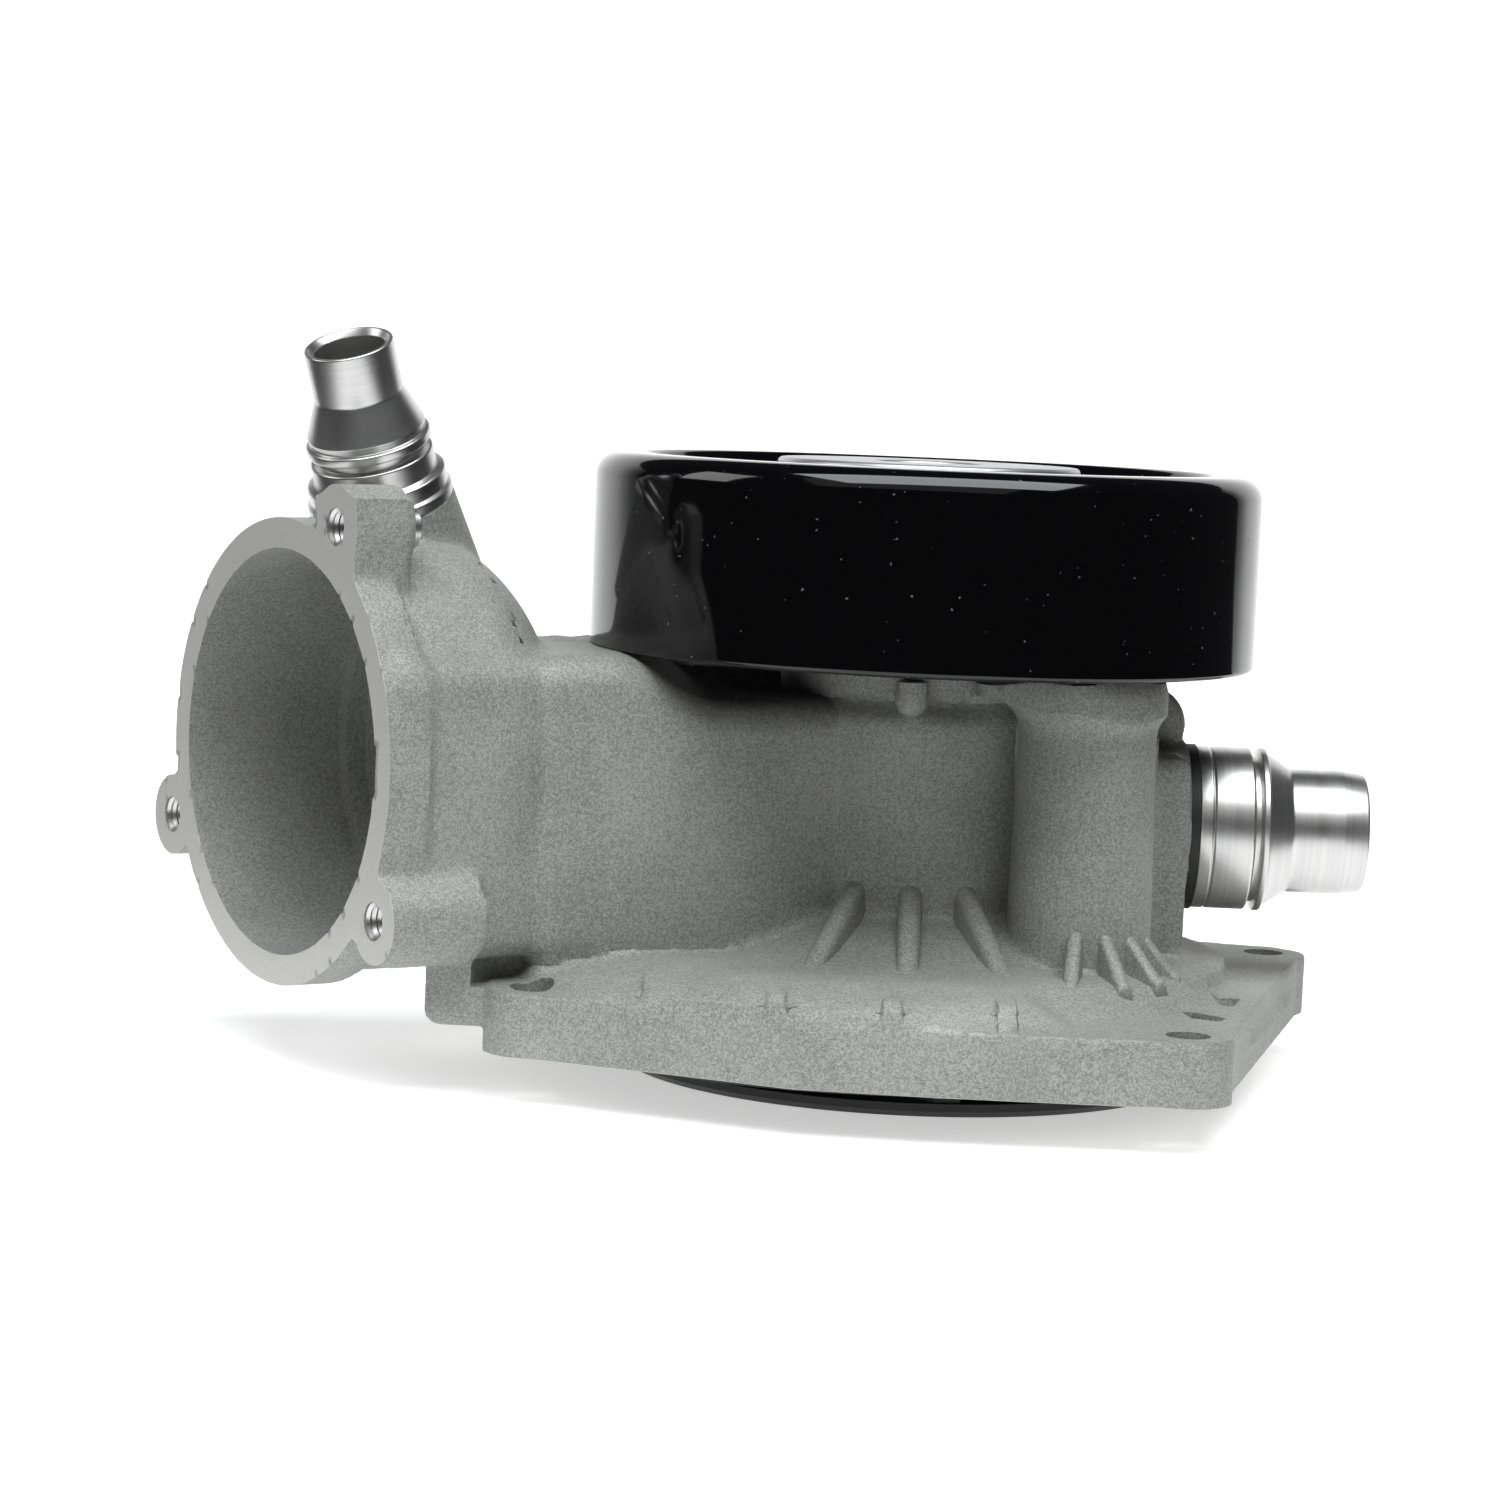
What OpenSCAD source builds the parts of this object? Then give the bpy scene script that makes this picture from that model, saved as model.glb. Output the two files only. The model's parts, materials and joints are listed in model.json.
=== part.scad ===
// Belt-driven coolant pump: cast housing with a thermostat neck, two quick-connect
// nipples, an integral-shaft bearing, a face seal, a closed impeller and a flat-belt pulley.
// Origin: shaft axis where it crosses the mounting face.  +Z runs up to the pulley.

/* [Mounting plate] */
// Thickness of the mounting plate
plate_t = 10; // [8:0.5:12]
// Diameter of the plate bolt holes
bolt_hole_d = 6.8; // [6.4:0.1:7.4]
// Outer radius of the material around each bolt hole
bolt_boss_r = 7; // [6.5:0.5:9]

/* [Scroll] */
// Radius of the raised scroll on top of the plate
scroll_r = 61; // [59:1:63]
// Height of the scroll above the plate
scroll_h = 4.4; // [4:0.2:6]
// Wall between the pump chamber and the outside
chamber_wall = 4; // [3.5:0.5:5]

/* [Tower] */
// How much wider the tower is than the bearing sleeve, on the radius
tower_step = 2; // [2:0.5:4]
// Height of the tower deck under the pulley
deck_z = 54.5; // [52:0.5:56]
// Wall of the sleeve round the bearing
sleeve_wall = 4; // [3:0.5:5]
// Radius of the riser column beside the tower
riser_r = 12; // [11:0.5:13]

/* [Duct and neck] */
// Wall of the duct
duct_wall = 4.5; // [3.5:0.5:5]
// Bore of the thermostat neck
neck_bore_d = 65; // [60:1:67]
// Width of the thermostat flange's face round the bore
neck_flange_w = 5; // [4:0.5:6.5]
// Thickness of the thermostat flange
neck_flange_t = 7.5; // [6:0.5:9]
// Depth of the thermostat bore down to its seat step
neck_seat_depth = 28; // [24:1:30]
// Distance from the edge of the thermostat bore to the axes of its screws
neck_screw_gap = 8.1; // [7.5:0.1:9.5]
// Core diameter of the tapped holes for the M6 thermostat screws
tapped_d = 5; // [5:0.1:5.2]
// Depth of the tapped holes
tapped_depth = 14; // [10:1:16]

/* [Nipples] */
// Body diameter of the upper nipple
top_nipple_d = 20; // [18:0.5:21]
// Tip diameter of the upper nipple
top_tip_d = 14.4; // [13.8:0.2:15]
// Bore of the upper nipple
top_bore_d = 11.4; // [9:0.2:12]
// Body diameter of the side nipple
side_nipple_d = 27; // [25:0.5:28]
// Tip diameter of the side nipple
side_tip_d = 20.6; // [19:0.2:21]
// Bore of the side nipple
side_bore_d = 16; // [12:0.5:17]
// Height of the side nipple's axis above the mounting face
side_axis_z = 34.5; // [33:0.5:36]

/* [Bearing] */
// Outer diameter of the bearing's outer ring
bearing_d = 38; // [36:0.5:38]
// Length of the bearing's outer ring
bearing_len = 40; // [38:1:42]
// Diameter of the shaft
shaft_d = 18; // [17:0.5:18]
// Diameter of the balls
ball_d = 6.2; // [5.8:0.1:6.2]
// Number of balls
ball_n = 9; // [7:1:10]
// Diameter of the rollers
roller_d = 5.8; // [5.4:0.1:5.8]
// Number of rollers
roller_n = 11; // [8:1:11]
// Running clearance of the rolling elements
roll_gap = 0.2; // [0.15:0.05:0.3]

/* [Pulley] */
// Outer diameter of the pulley's belt face
pulley_d = 110; // [104:1:114]
// Height of the pulley
pulley_h = 31.8; // [30:0.2:33]
// Height of the pulley's lower edge above the tower deck
pulley_lift = 7; // [6.5:0.5:9]
// Wall of the pulley
pulley_wall = 3.2; // [2.5:0.1:4]
// Radius of the pulley's rounded top edge
pulley_edge_r = 6; // [5:0.5:7]
// Diameter of the hub flange that shows on top
hub_flange_d = 50; // [46:1:54]

/* [Impeller] */
// Diameter of the impeller
impeller_d = 96; // [84:1:96]
// How far the impeller stands below the mounting face
impeller_drop = 7.3; // [6:0.1:9]
// Depth of the impeller from its back face to its top ring
impeller_h = 16; // [14:0.5:16.5]
// Thickness of both impeller discs
disc_t = 2.2; // [1.8:0.1:2.6]
// Diameter of the impeller's eye
eye_d = 50; // [46:1:52]
// Number of impeller blades
blade_n = 7; // [5:1:8]

/* [Hidden] */
$fn = 64;
eps = 0.01;

// Plate outline: bolt holes first, then the corners of the plate between them.
bolt_holes = [[-60, -45], [40.4, -63.6], [63.5, 28], [12, 62.5], [-48, 45]];
plate_corners = [[-58, -52.5], [-38, -60], [-19, -68], [2, -70], [22, -70.4], [42, -70.6],
                 [45.5, -67], [70, 27], [66, 34.5], [50, 39.5], [19, 69], [5, 70],
                 [-51, 52], [-62, 25], [-67, -46]];
scroll_c = [-6, -7];
scroll_roof_t = 3.2;
// Corner of the scroll that is left flat round the second bolt hole.
scroll_notch = [[22, -90], [22, -56.3], [30, -45.8], [41, -38.6], [48, -31], [53, -26], [90, -26], [90, -90]];
lobe_c = [-59, 3];
lobe_r = 21;
lobe_h = 22;
// Foot that ties the thermostat neck to the plate, cut back round the first bolt's head.
foot_corner = [-77, -47, 3];
foot_size = [15, 12, 16.5];
foot_clear_r = 9.6;

// Chamber: the impeller pocket and the scroll pocket, both open at the mounting face.
impeller_r = impeller_d / 2;
chamber_clear = 2;
chamber_top = plate_t + scroll_h - scroll_roof_t;
gasket_w = 2.4;
gasket_t = 2.2;
gasket_stand = 0.4;

// Shaft and pulley heights, from the pulley's lower edge upwards.
shaft_r = shaft_d / 2;
pulley_r = pulley_d / 2;
pulley_z = deck_z + pulley_lift;
pulley_top = pulley_z + pulley_h;
web_z = pulley_top - 6.4;

// Duct plan, from the neck (left) to the tower (right), and its lowered front part.
neck_x = -pulley_r - 48;
duct_front = [[neck_x + 19.5, -57], [-60, -40], [-50, -36.2], [-13.7, -21]];
duct_low_plan = [duct_front[1], duct_front[2], duct_front[3], [-6, 22], [-56, 22], [-72, -15]];
duct_neck_plan = [duct_front[0], duct_front[1], [-56, 22], [neck_x + 24, 10], [neck_x + 15, -30]];
duct_mid_plan = [duct_front[1], duct_front[2], [-46, 0], [-56, 22]];
duct_high_plan = [duct_front[0], duct_front[1], duct_front[2], [-46, 0], [-56, 22],
                  [neck_x + 24, 10], [neck_x + 15, -30]];
duct_high_z = 14;
duct_floor = plate_t + 4;
duct_top = pulley_z - 0.5;
shoulder = 5;
shelf_z = pulley_z - 4;
shelf_plan = [[-60, 4], [-20, 8], [-18, 22], [-56, 22]];

// Thermostat neck.  Its local +Z runs into the housing, local -X is up.
neck_flange_r = neck_bore_d / 2 + neck_flange_w;
neck_face = [neck_x, -27, neck_flange_r + 6];
neck_angle = 34;
neck_r = neck_bore_d / 2 + 3;
neck_screw_r = neck_bore_d / 2 + neck_screw_gap;
neck_barrel = 21;
neck_dome_r = 26;
neck_screw_angles = [65, 201, 326];
neck_boss_r = 6.6;
seat_ledge = 2;
seat_ledge_t = 3;
neck_bore_depth = 40;

// Upper nipple frame.
top_base = [neck_x + 14.1, -15, neck_face[2] + neck_r + 4.8];
top_tilt = 23.9;
top_heading = 242.5;
top_collar_d = 23.6;
top_collar_h = 5;
top_len = 27.3;
top_spigot_len = 4;
top_spigot_d = top_bore_d + 5.6;
top_boss_len = 22;

// Side nipple frame.
side_y = 2;
side_face_x = 45.2;
side_len = 30;
side_bore_depth = 18;
side_spigot_d = side_bore_d + 5;
side_spigot_len = 9;
side_collar_h = 8;
side_block_w = 30;
side_block_h = 48;
face_ring_t = 1.5;

// Drilling that joins the side nipple to the riser column.
cross_x = 30;
cross_d = 10;

// Radial O-ring in a groove of each nipple's spigot: groove, slack and depths.
o_ring_groove = 1.8;
o_ring_slack = 0.3;
top_o_ring_depth = 2.2;
side_o_ring_depth = 5;

// Riser column, with its thin ribs.
riser_c = [25.7, -24];
riser_top = pulley_z - 2.5;
riser_bore_r = riser_r - 4;
riser_bore_top = side_axis_z + 12.7;

// Cone that eases the tower into the scroll.
cone_reach = 19;
cone_h = 8;

// Radial ribs of the tower and of the riser: directions, reaches, heights at the column, widths.
tower_rib_angles = [-113, -92, -71];
tower_rib_reach = 18.5;
tower_rib_z = 25.8;
tower_rib_w = 3.8;
riser_rib_angles = [-97, -72, -48, -22];
riser_rib_reach = [10, 7.8, 6.2, 5];
riser_rib_z = 21.2;
riser_rib_w = 2.5;

// Bearing: it hangs from the pulley, with a running gap between the sleeve and the web.
web_gap = 2.9;
sleeve_top = web_z - web_gap;
bearing_z = sleeve_top - 1 - bearing_len;
bearing_r = bearing_d / 2;
sleeve_r = bearing_r + sleeve_wall;
ring_inner_r = shaft_r + roller_d + 2 * roll_gap;
pitch_r = (shaft_r + ring_inner_r) / 2;
ball_z = bearing_z + bearing_len - 11;
roller_z = bearing_z + 0.3 * bearing_len;
roller_len = 11;
lip_gap = 0.3;
seal_t = 1.6;
seal_inset = 0.4;
cage_wall = 1.0;
ball_cage_h = 7.2;
roller_cage_h = roller_len + 3;

// Drilling that drains the space between the seal and the bearing.
weep_z = bearing_z - 3.5;
weep_angle = 95;
weep_d = 5;
weep_plug_h = 2.2;

// Shaft and hub.
shaft_bottom = 1.2 - impeller_drop;
shaft_top = pulley_top - 1.5;
hub_r = shaft_r + 6;
hub_bottom = sleeve_top + 1.2;

// Face seal, from the rotating seat ring upwards.
bush_r = shaft_r + 3;
bush_top = impeller_h - impeller_drop + 1;
seat_z = bush_top + 0.4;
seat_t = 4.2;
boot_t = 1.6;
face_gap = 0.3;
shaft_clear_r = shaft_r + 1.5;
carbon_z = seat_z + seat_t + face_gap;
carbon_t = 4;
seal_bore_r = shaft_r + 8;
seat_r = seal_bore_r - 2.8;
carbon_r = seal_bore_r - 3.6;
bellows_r = seal_bore_r - 4;
spring_r = seal_bore_r - 2.7;
seal_top = carbon_z + 18;
seal_boss_r = seal_bore_r + 3.2;
core_wall = 3.5;
inlet_r = seal_boss_r + 1.8;
inlet_h = 18;
cup_t = 0.9;
cup_h = 12;
bellows_lip_h = 3;
spring_wire_r = 0.6;
spring_turns = 4;
tower_r = max(sleeve_r + tower_step, inlet_r + 3);

// ---------------------------------------------------------------- helpers

// A tube standing on z = 0.
module tube(r_out, r_in, h) {
    difference() {
        cylinder(r = r_out, h = h);
        translate([0, 0, -1]) cylinder(r = r_in, h = h + 2);
    }
}

// Puts children in the thermostat neck's frame.
module at_neck() {
    translate(neck_face) rotate([0, 0, neck_angle]) rotate([0, 90, 0]) children();
}

// Puts children at one thermostat screw.
module at_neck_screw(a) {
    at_neck() translate([-neck_screw_r * sin(a), -neck_screw_r * cos(a), 0]) children();
}

// Puts children on the upper nipple's axis, its local +Z leaving the housing.
module at_top_nipple() {
    translate(top_base) rotate([0, 0, top_heading]) rotate([0, top_tilt, 0]) children();
}

// Puts children on the side nipple's axis.
module at_side_nipple() {
    translate([side_face_x, side_y, side_axis_z]) rotate([0, 90, 0]) children();
}

// A radial rib: a thin wall whose top slopes from the tower down to the scroll.
module sloping_rib(c, a, r_in, r_out, z_in, z_out, w) {
    translate([c[0], c[1], 0]) rotate([0, 0, a]) translate([0, w / 2, 0]) rotate([90, 0, 0])
        linear_extrude(w) polygon([[r_in - 4, plate_t], [r_out, plate_t], [r_out, z_out],
                                   [r_in, z_in], [r_in - 4, z_in]]);
}

// ---------------------------------------------------------------- housing

// Plan of the mounting plate: corners, bolt bosses and the round left lobe.
module plate_plan() {
    polygon(plate_corners);
    for (p = bolt_holes) translate(p) circle(r = bolt_boss_r);
    translate(lobe_c) circle(r = lobe_r);
}

// Raised scroll with its rounded rim.
module scroll_outside() {
    rim = scroll_h - 0.2;
    translate([scroll_c[0], scroll_c[1], 0]) {
        cylinder(r = scroll_r, h = plate_t + scroll_h - rim);
        rotate_extrude() {
            square([scroll_r - rim, plate_t + scroll_h]);
            translate([scroll_r - rim, plate_t + scroll_h - rim]) circle(r = rim);
        }
    }
}

// The scroll without its flat corner, the chamber's wall and the cone up to the tower.
module scroll_and_cone() {
    difference() {
        scroll_outside();
        translate([0, 0, plate_t]) linear_extrude(scroll_h + 1) polygon(scroll_notch);
    }
    cylinder(r = impeller_r + chamber_clear + chamber_wall, h = plate_t + scroll_h - 1);
    translate([0, 0, plate_t + scroll_h - 1]) cylinder(r1 = tower_r + cone_reach, r2 = tower_r, h = cone_h);
}

// Duct body: its high left part, its lower part under the pulley and the rear shelf.
module duct_outside() {
    for (plan = [duct_neck_plan, duct_mid_plan]) hull() {
        translate([0, 0, duct_high_z]) linear_extrude(duct_top - shoulder - duct_high_z) polygon(plan);
        translate([0, 0, duct_high_z]) linear_extrude(duct_top - duct_high_z)
            offset(delta = -shoulder) polygon(plan);
    }
    hull() {
        linear_extrude(deck_z - 2) polygon(duct_low_plan);
        linear_extrude(deck_z) offset(delta = -2) polygon(duct_low_plan);
    }
    linear_extrude(shelf_z) polygon(shelf_plan);
    translate([lobe_c[0], lobe_c[1], 0]) cylinder(r = lobe_r, h = lobe_h);
    difference() {
        translate(foot_corner) cube(foot_size);
        translate([bolt_holes[0][0], bolt_holes[0][1], plate_t])
            cylinder(r = foot_clear_r, h = foot_size[2]);
    }
}

// Solid core round the seal and the bearing, which every hollow goes round.
module core() {
    translate([0, 0, carbon_z + 1]) cylinder(r = seal_boss_r, h = sleeve_top);
    translate([0, 0, seal_top - 2]) cylinder(r = bearing_r + core_wall, h = sleeve_top);
}

// Hollow of the duct, open into the neck and into the inlet round the tower.
module duct_hollow() {
    difference() {
        union() {
            translate([0, 0, duct_floor]) linear_extrude(deck_z - duct_wall - duct_floor)
                offset(delta = -duct_wall) polygon(duct_low_plan);
            translate([0, 0, duct_high_z + duct_wall])
                linear_extrude(duct_top - duct_high_z - 2 * duct_wall)
                offset(delta = -duct_wall) polygon(duct_high_plan);
        }
        core();
        at_neck() translate([0, 0, -neck_r])
            cylinder(r = 2 * neck_r, h = neck_r + neck_seat_depth + seat_ledge_t);
    }
}

// Neck barrel with its rounded inner end.
module neck_outside() {
    at_neck() {
        cylinder(r = neck_flange_r, h = neck_flange_t);
        cylinder(r = neck_r, h = neck_barrel);
        translate([0, 0, neck_barrel]) rotate_extrude() intersection() {
            square([neck_r + 1, neck_dome_r + 1]);
            union() {
                square([neck_r - neck_dome_r, neck_dome_r]);
                translate([neck_r - neck_dome_r, 0]) circle(r = neck_dome_r);
            }
        }
    }
    for (a = neck_screw_angles) at_neck_screw(a) cylinder(r = neck_boss_r, h = tapped_depth + 3);
    at_neck_screw(neck_screw_angles[0]) translate([0, -neck_boss_r, 0]) cube([14, 2 * neck_boss_r, 11]);
}

// Thermostat bore, its seat step and the tapped holes.
module neck_bores() {
    at_neck() {
        translate([0, 0, -1]) cylinder(d = neck_bore_d, h = neck_seat_depth + 1);
        cylinder(d = neck_bore_d - 2 * seat_ledge, h = neck_bore_depth);
    }
    for (a = neck_screw_angles) at_neck_screw(a)
        translate([0, 0, -1]) cylinder(d = tapped_d, h = tapped_depth + 1);
}

// Tower, bearing sleeve, riser column, side boss and the lugs beside them.
module tower_outside() {
    cylinder(r = tower_r, h = deck_z);
    cylinder(r = sleeve_r, h = sleeve_top);
    translate([riser_c[0], riser_c[1], 0]) cylinder(r = riser_r, h = riser_top);
    translate([10, -18, 0]) cube([28.5, 38, deck_z - 2]);
    translate([20, side_y - side_block_w / 2, 0]) cube([side_face_x - 20, side_block_w, side_block_h]);
    translate([38, 5, side_block_h]) rotate([90, 0, 0]) cylinder(r = 6.5, h = 14, center = true);
    translate([-2.1, -24.5, deck_z - 1]) cylinder(r = 2.6, h = 5.5);
    at_top_nipple() translate([0, 0, -top_boss_len])
        cylinder(r1 = top_collar_d / 2 + 3.2, r2 = top_collar_d / 2, h = top_boss_len);
    at_side_nipple() translate([0, 0, -12]) cylinder(r = side_nipple_d / 2 + 0.5, h = 12);
}

module housing_ribs() {
    foot_z = plate_t + scroll_h + 0.6;
    for (a = tower_rib_angles)
        sloping_rib([0, 0], a, tower_r + 2, tower_r + tower_rib_reach, tower_rib_z, foot_z, tower_rib_w);
    for (k = [0:len(riser_rib_angles) - 1])
        sloping_rib(riser_c, riser_rib_angles[k], riser_r + 0.5, riser_r + riser_rib_reach[k],
                    riser_rib_z, foot_z, riser_rib_w);
}

// Pump chamber: the impeller pocket, the scroll pocket and the inlet round the seal boss.
module chamber_hollow() {
    translate([0, 0, -1]) cylinder(r = impeller_r + chamber_clear, h = chamber_top + 1);
    translate([scroll_c[0], scroll_c[1], -1])
        cylinder(r = scroll_r - chamber_wall, h = plate_t - 1);
    difference() {
        translate([0, 0, chamber_top - 1]) cylinder(r = inlet_r, h = duct_floor - chamber_top + inlet_h);
        core();
    }
}

module shaft_bores() {
    translate([0, 0, bearing_z]) cylinder(r = bearing_r, h = bearing_len + 5);
    translate([0, 0, bearing_z - 6]) cylinder(r = shaft_r + 3, h = 8);
    translate([0, 0, carbon_z - 5]) cylinder(r = seal_bore_r, h = seal_top - carbon_z + 5);
    translate([0, 0, seal_top - 1]) cylinder(r = shaft_clear_r, h = bearing_z - seal_top + 1);
    translate([0, 0, weep_z]) rotate([0, 0, weep_angle]) rotate([0, 90, 0])
        cylinder(d = weep_d, h = tower_r + 5);
}

module nipple_bores() {
    at_top_nipple() {
        translate([0, 0, -top_spigot_len]) cylinder(d = top_spigot_d, h = top_spigot_len + 1);
        translate([0, 0, -top_boss_len - 2]) cylinder(d = top_bore_d, h = top_boss_len);
    }
    at_side_nipple() {
        translate([0, 0, -side_spigot_len]) cylinder(d = side_spigot_d, h = side_spigot_len + 1);
        translate([0, 0, -side_bore_depth]) cylinder(d = side_bore_d, h = side_bore_depth);
    }
    translate([riser_c[0], riser_c[1], chamber_top - 1])
        cylinder(r = riser_bore_r, h = riser_bore_top - chamber_top);
    translate([cross_x, side_y, side_axis_z]) rotate([90, 0, 0])
        cylinder(d = cross_d, h = side_y - riser_c[1]);
}

// Groove for the gasket in the mounting face, round the chamber.
module gasket_loop() {
    loop_r = scroll_r - chamber_wall + 1.5;
    difference() {
        translate(scroll_c) circle(r = loop_r + gasket_w);
        translate(scroll_c) circle(r = loop_r);
    }
}

module housing() {
    color([0.66, 0.67, 0.66]) difference() {
        union() {
            linear_extrude(plate_t) plate_plan();
            scroll_and_cone();
            duct_outside();
            neck_outside();
            tower_outside();
            housing_ribs();
        }
        duct_hollow();
        neck_bores();
        chamber_hollow();
        shaft_bores();
        nipple_bores();
        for (p = bolt_holes) translate([p[0], p[1], -1]) cylinder(d = bolt_hole_d, h = plate_t + 2);
        translate([0, 0, -1]) linear_extrude(gasket_t - gasket_stand + 1) gasket_loop();
    }
}

// ---------------------------------------------------------------- bearing

module bearing_outer_ring() {
    color([0.72, 0.73, 0.75]) difference() {
        translate([0, 0, bearing_z]) tube(bearing_r, ring_inner_r, bearing_len);
        translate([0, 0, ball_z]) rotate_extrude() translate([pitch_r, 0]) circle(d = ball_d + 2 * roll_gap);
    }
}

module bearing_seal(z) {
    translate([0, 0, z]) tube(ring_inner_r, shaft_r + lip_gap, seal_t);
}

module bearing_seal_upper() {
    color([0.12, 0.12, 0.13]) bearing_seal(bearing_z + bearing_len - seal_t - seal_inset);
}

module bearing_seal_lower() {
    color([0.12, 0.12, 0.13]) bearing_seal(bearing_z + seal_inset);
}

module bearing_balls() {
    color([0.82, 0.83, 0.85]) for (i = [0 : ball_n - 1])
        rotate([0, 0, i * 360 / ball_n]) translate([pitch_r, 0, ball_z]) sphere(d = ball_d);
}

module ball_cage() {
    color([0.85, 0.72, 0.42]) difference() {
        translate([0, 0, ball_z - ball_cage_h / 2])
            tube(pitch_r + cage_wall, pitch_r - cage_wall, ball_cage_h);
        for (i = [0 : ball_n - 1]) rotate([0, 0, i * 360 / ball_n])
            translate([pitch_r, 0, ball_z]) sphere(d = ball_d + 2 * roll_gap);
    }
}

module bearing_rollers() {
    color([0.82, 0.83, 0.85]) for (i = [0 : roller_n - 1]) rotate([0, 0, i * 360 / roller_n])
        translate([pitch_r, 0, roller_z - roller_len / 2]) cylinder(d = roller_d, h = roller_len);
}

module roller_cage() {
    pocket = roller_len + 2 * roll_gap;
    color([0.85, 0.72, 0.42]) difference() {
        translate([0, 0, roller_z - roller_cage_h / 2])
            tube(pitch_r + cage_wall, pitch_r - cage_wall, roller_cage_h);
        for (i = [0 : roller_n - 1]) rotate([0, 0, i * 360 / roller_n])
            translate([pitch_r, 0, roller_z - pocket / 2]) cylinder(d = roller_d + 2 * roll_gap, h = pocket);
    }
}

module shaft() {
    color([0.78, 0.79, 0.81]) difference() {
        union() {
            translate([0, 0, shaft_bottom + 1]) cylinder(r = shaft_r, h = shaft_top - shaft_bottom - 2);
            translate([0, 0, shaft_bottom]) cylinder(r1 = shaft_r - 1, r2 = shaft_r, h = 1);
            translate([0, 0, shaft_top - 1]) cylinder(r1 = shaft_r, r2 = shaft_r - 1, h = 1);
        }
        translate([0, 0, ball_z]) rotate_extrude() translate([pitch_r, 0]) circle(d = ball_d + 2 * roll_gap);
        translate([0, 0, shaft_top - 2.5]) cylinder(r1 = 0.6, r2 = 3, h = 3);
    }
}

// ---------------------------------------------------------------- pulley

// Cup-shaped pulley: flat belt face, rounded top edge, sunk web with a centre hole.
module pulley() {
    corner_r = pulley_r - pulley_edge_r;
    corner_z = pulley_top - pulley_edge_r;
    color([0.05, 0.05, 0.055]) rotate_extrude() {
        translate([pulley_r - pulley_wall, pulley_z]) square([pulley_wall, pulley_h - pulley_edge_r]);
        intersection() {
            translate([corner_r, corner_z]) square(pulley_edge_r + 1);
            difference() {
                translate([corner_r, corner_z]) circle(r = pulley_edge_r);
                translate([corner_r, corner_z]) circle(r = pulley_edge_r - pulley_wall);
            }
        }
        translate([corner_r - 2, web_z]) square([2 + eps, pulley_top - web_z]);
        translate([hub_r, web_z]) square([corner_r - hub_r - 1, pulley_wall]);
    }
}

// Hub pressed on the shaft, with the round flange that shows inside the rim.
module pulley_hub() {
    color([0.62, 0.63, 0.64]) difference() {
        union() {
            translate([0, 0, web_z + pulley_wall])
                cylinder(d = hub_flange_d, h = pulley_top - web_z - pulley_wall + 0.1);
            translate([0, 0, hub_bottom]) cylinder(r = hub_r, h = pulley_top - hub_bottom - 1);
        }
        translate([0, 0, hub_bottom - 1]) cylinder(r = shaft_r, h = 20);
    }
}

// ---------------------------------------------------------------- impeller

// One swept-back blade: the part right of the axis of a ring whose centre lies off the axis.
module blade() {
    bend_r = 0.62 * impeller_r;
    bend_c = [0.34 * impeller_r, 0.45 * impeller_r];
    intersection() {
        translate(bend_c) difference() {
            circle(r = bend_r);
            circle(r = bend_r - disc_t);
        }
        translate([0, -impeller_r]) square([1.1 * impeller_r, 1.42 * impeller_r]);
        difference() {
            circle(r = impeller_r - 1);
            circle(r = bush_r + 3);
        }
    }
}

module impeller_wheel() {
    blade_h = impeller_h - 2 * disc_t;
    color([0.07, 0.07, 0.075]) translate([0, 0, -impeller_drop]) difference() {
        union() {
            cylinder(r1 = impeller_r - 1, r2 = impeller_r, h = 1);
            translate([0, 0, 1]) cylinder(r = impeller_r, h = disc_t - 1);
            cylinder(r = bush_r + 4, h = impeller_h - 0.5);
            translate([0, 0, disc_t - eps]) linear_extrude(blade_h + eps)
                for (i = [0 : blade_n - 1]) rotate([0, 0, i * 360 / blade_n]) blade();
        }
        translate([0, 0, -1]) cylinder(r = bush_r, h = impeller_h + 2);
    }
}

module impeller_top_ring() {
    color([0.09, 0.09, 0.095]) translate([0, 0, impeller_h - impeller_drop - disc_t]) {
        tube(impeller_r, eye_d / 2, disc_t);
    }
}

module impeller_bush() {
    color([0.76, 0.62, 0.35]) translate([0, 0, -impeller_drop])
        tube(bush_r, shaft_r, bush_top + impeller_drop);
}

// ---------------------------------------------------------------- face seal

module seal_cup() {
    color([0.8, 0.69, 0.42]) difference() {
        translate([0, 0, seal_top - cup_h]) cylinder(r = seal_bore_r, h = cup_h);
        translate([0, 0, seal_top - cup_h - 1]) cylinder(r = seal_bore_r - cup_t, h = cup_h + 1 - cup_t);
        translate([0, 0, seal_top - cup_h - 1]) cylinder(r = shaft_clear_r, h = cup_h + 3);
    }
}

module seal_bellows() {
    color([0.1, 0.1, 0.1]) difference() {
        union() {
            translate([0, 0, carbon_z + carbon_t])
                cylinder(r = bellows_r, h = seal_top - cup_t - carbon_z - carbon_t);
            translate([0, 0, seal_top - cup_t - bellows_lip_h])
                cylinder(r = seal_bore_r - cup_t, h = bellows_lip_h);
        }
        translate([0, 0, carbon_z]) cylinder(r = shaft_clear_r + 0.1, h = seal_top - carbon_z);
    }
}

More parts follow.
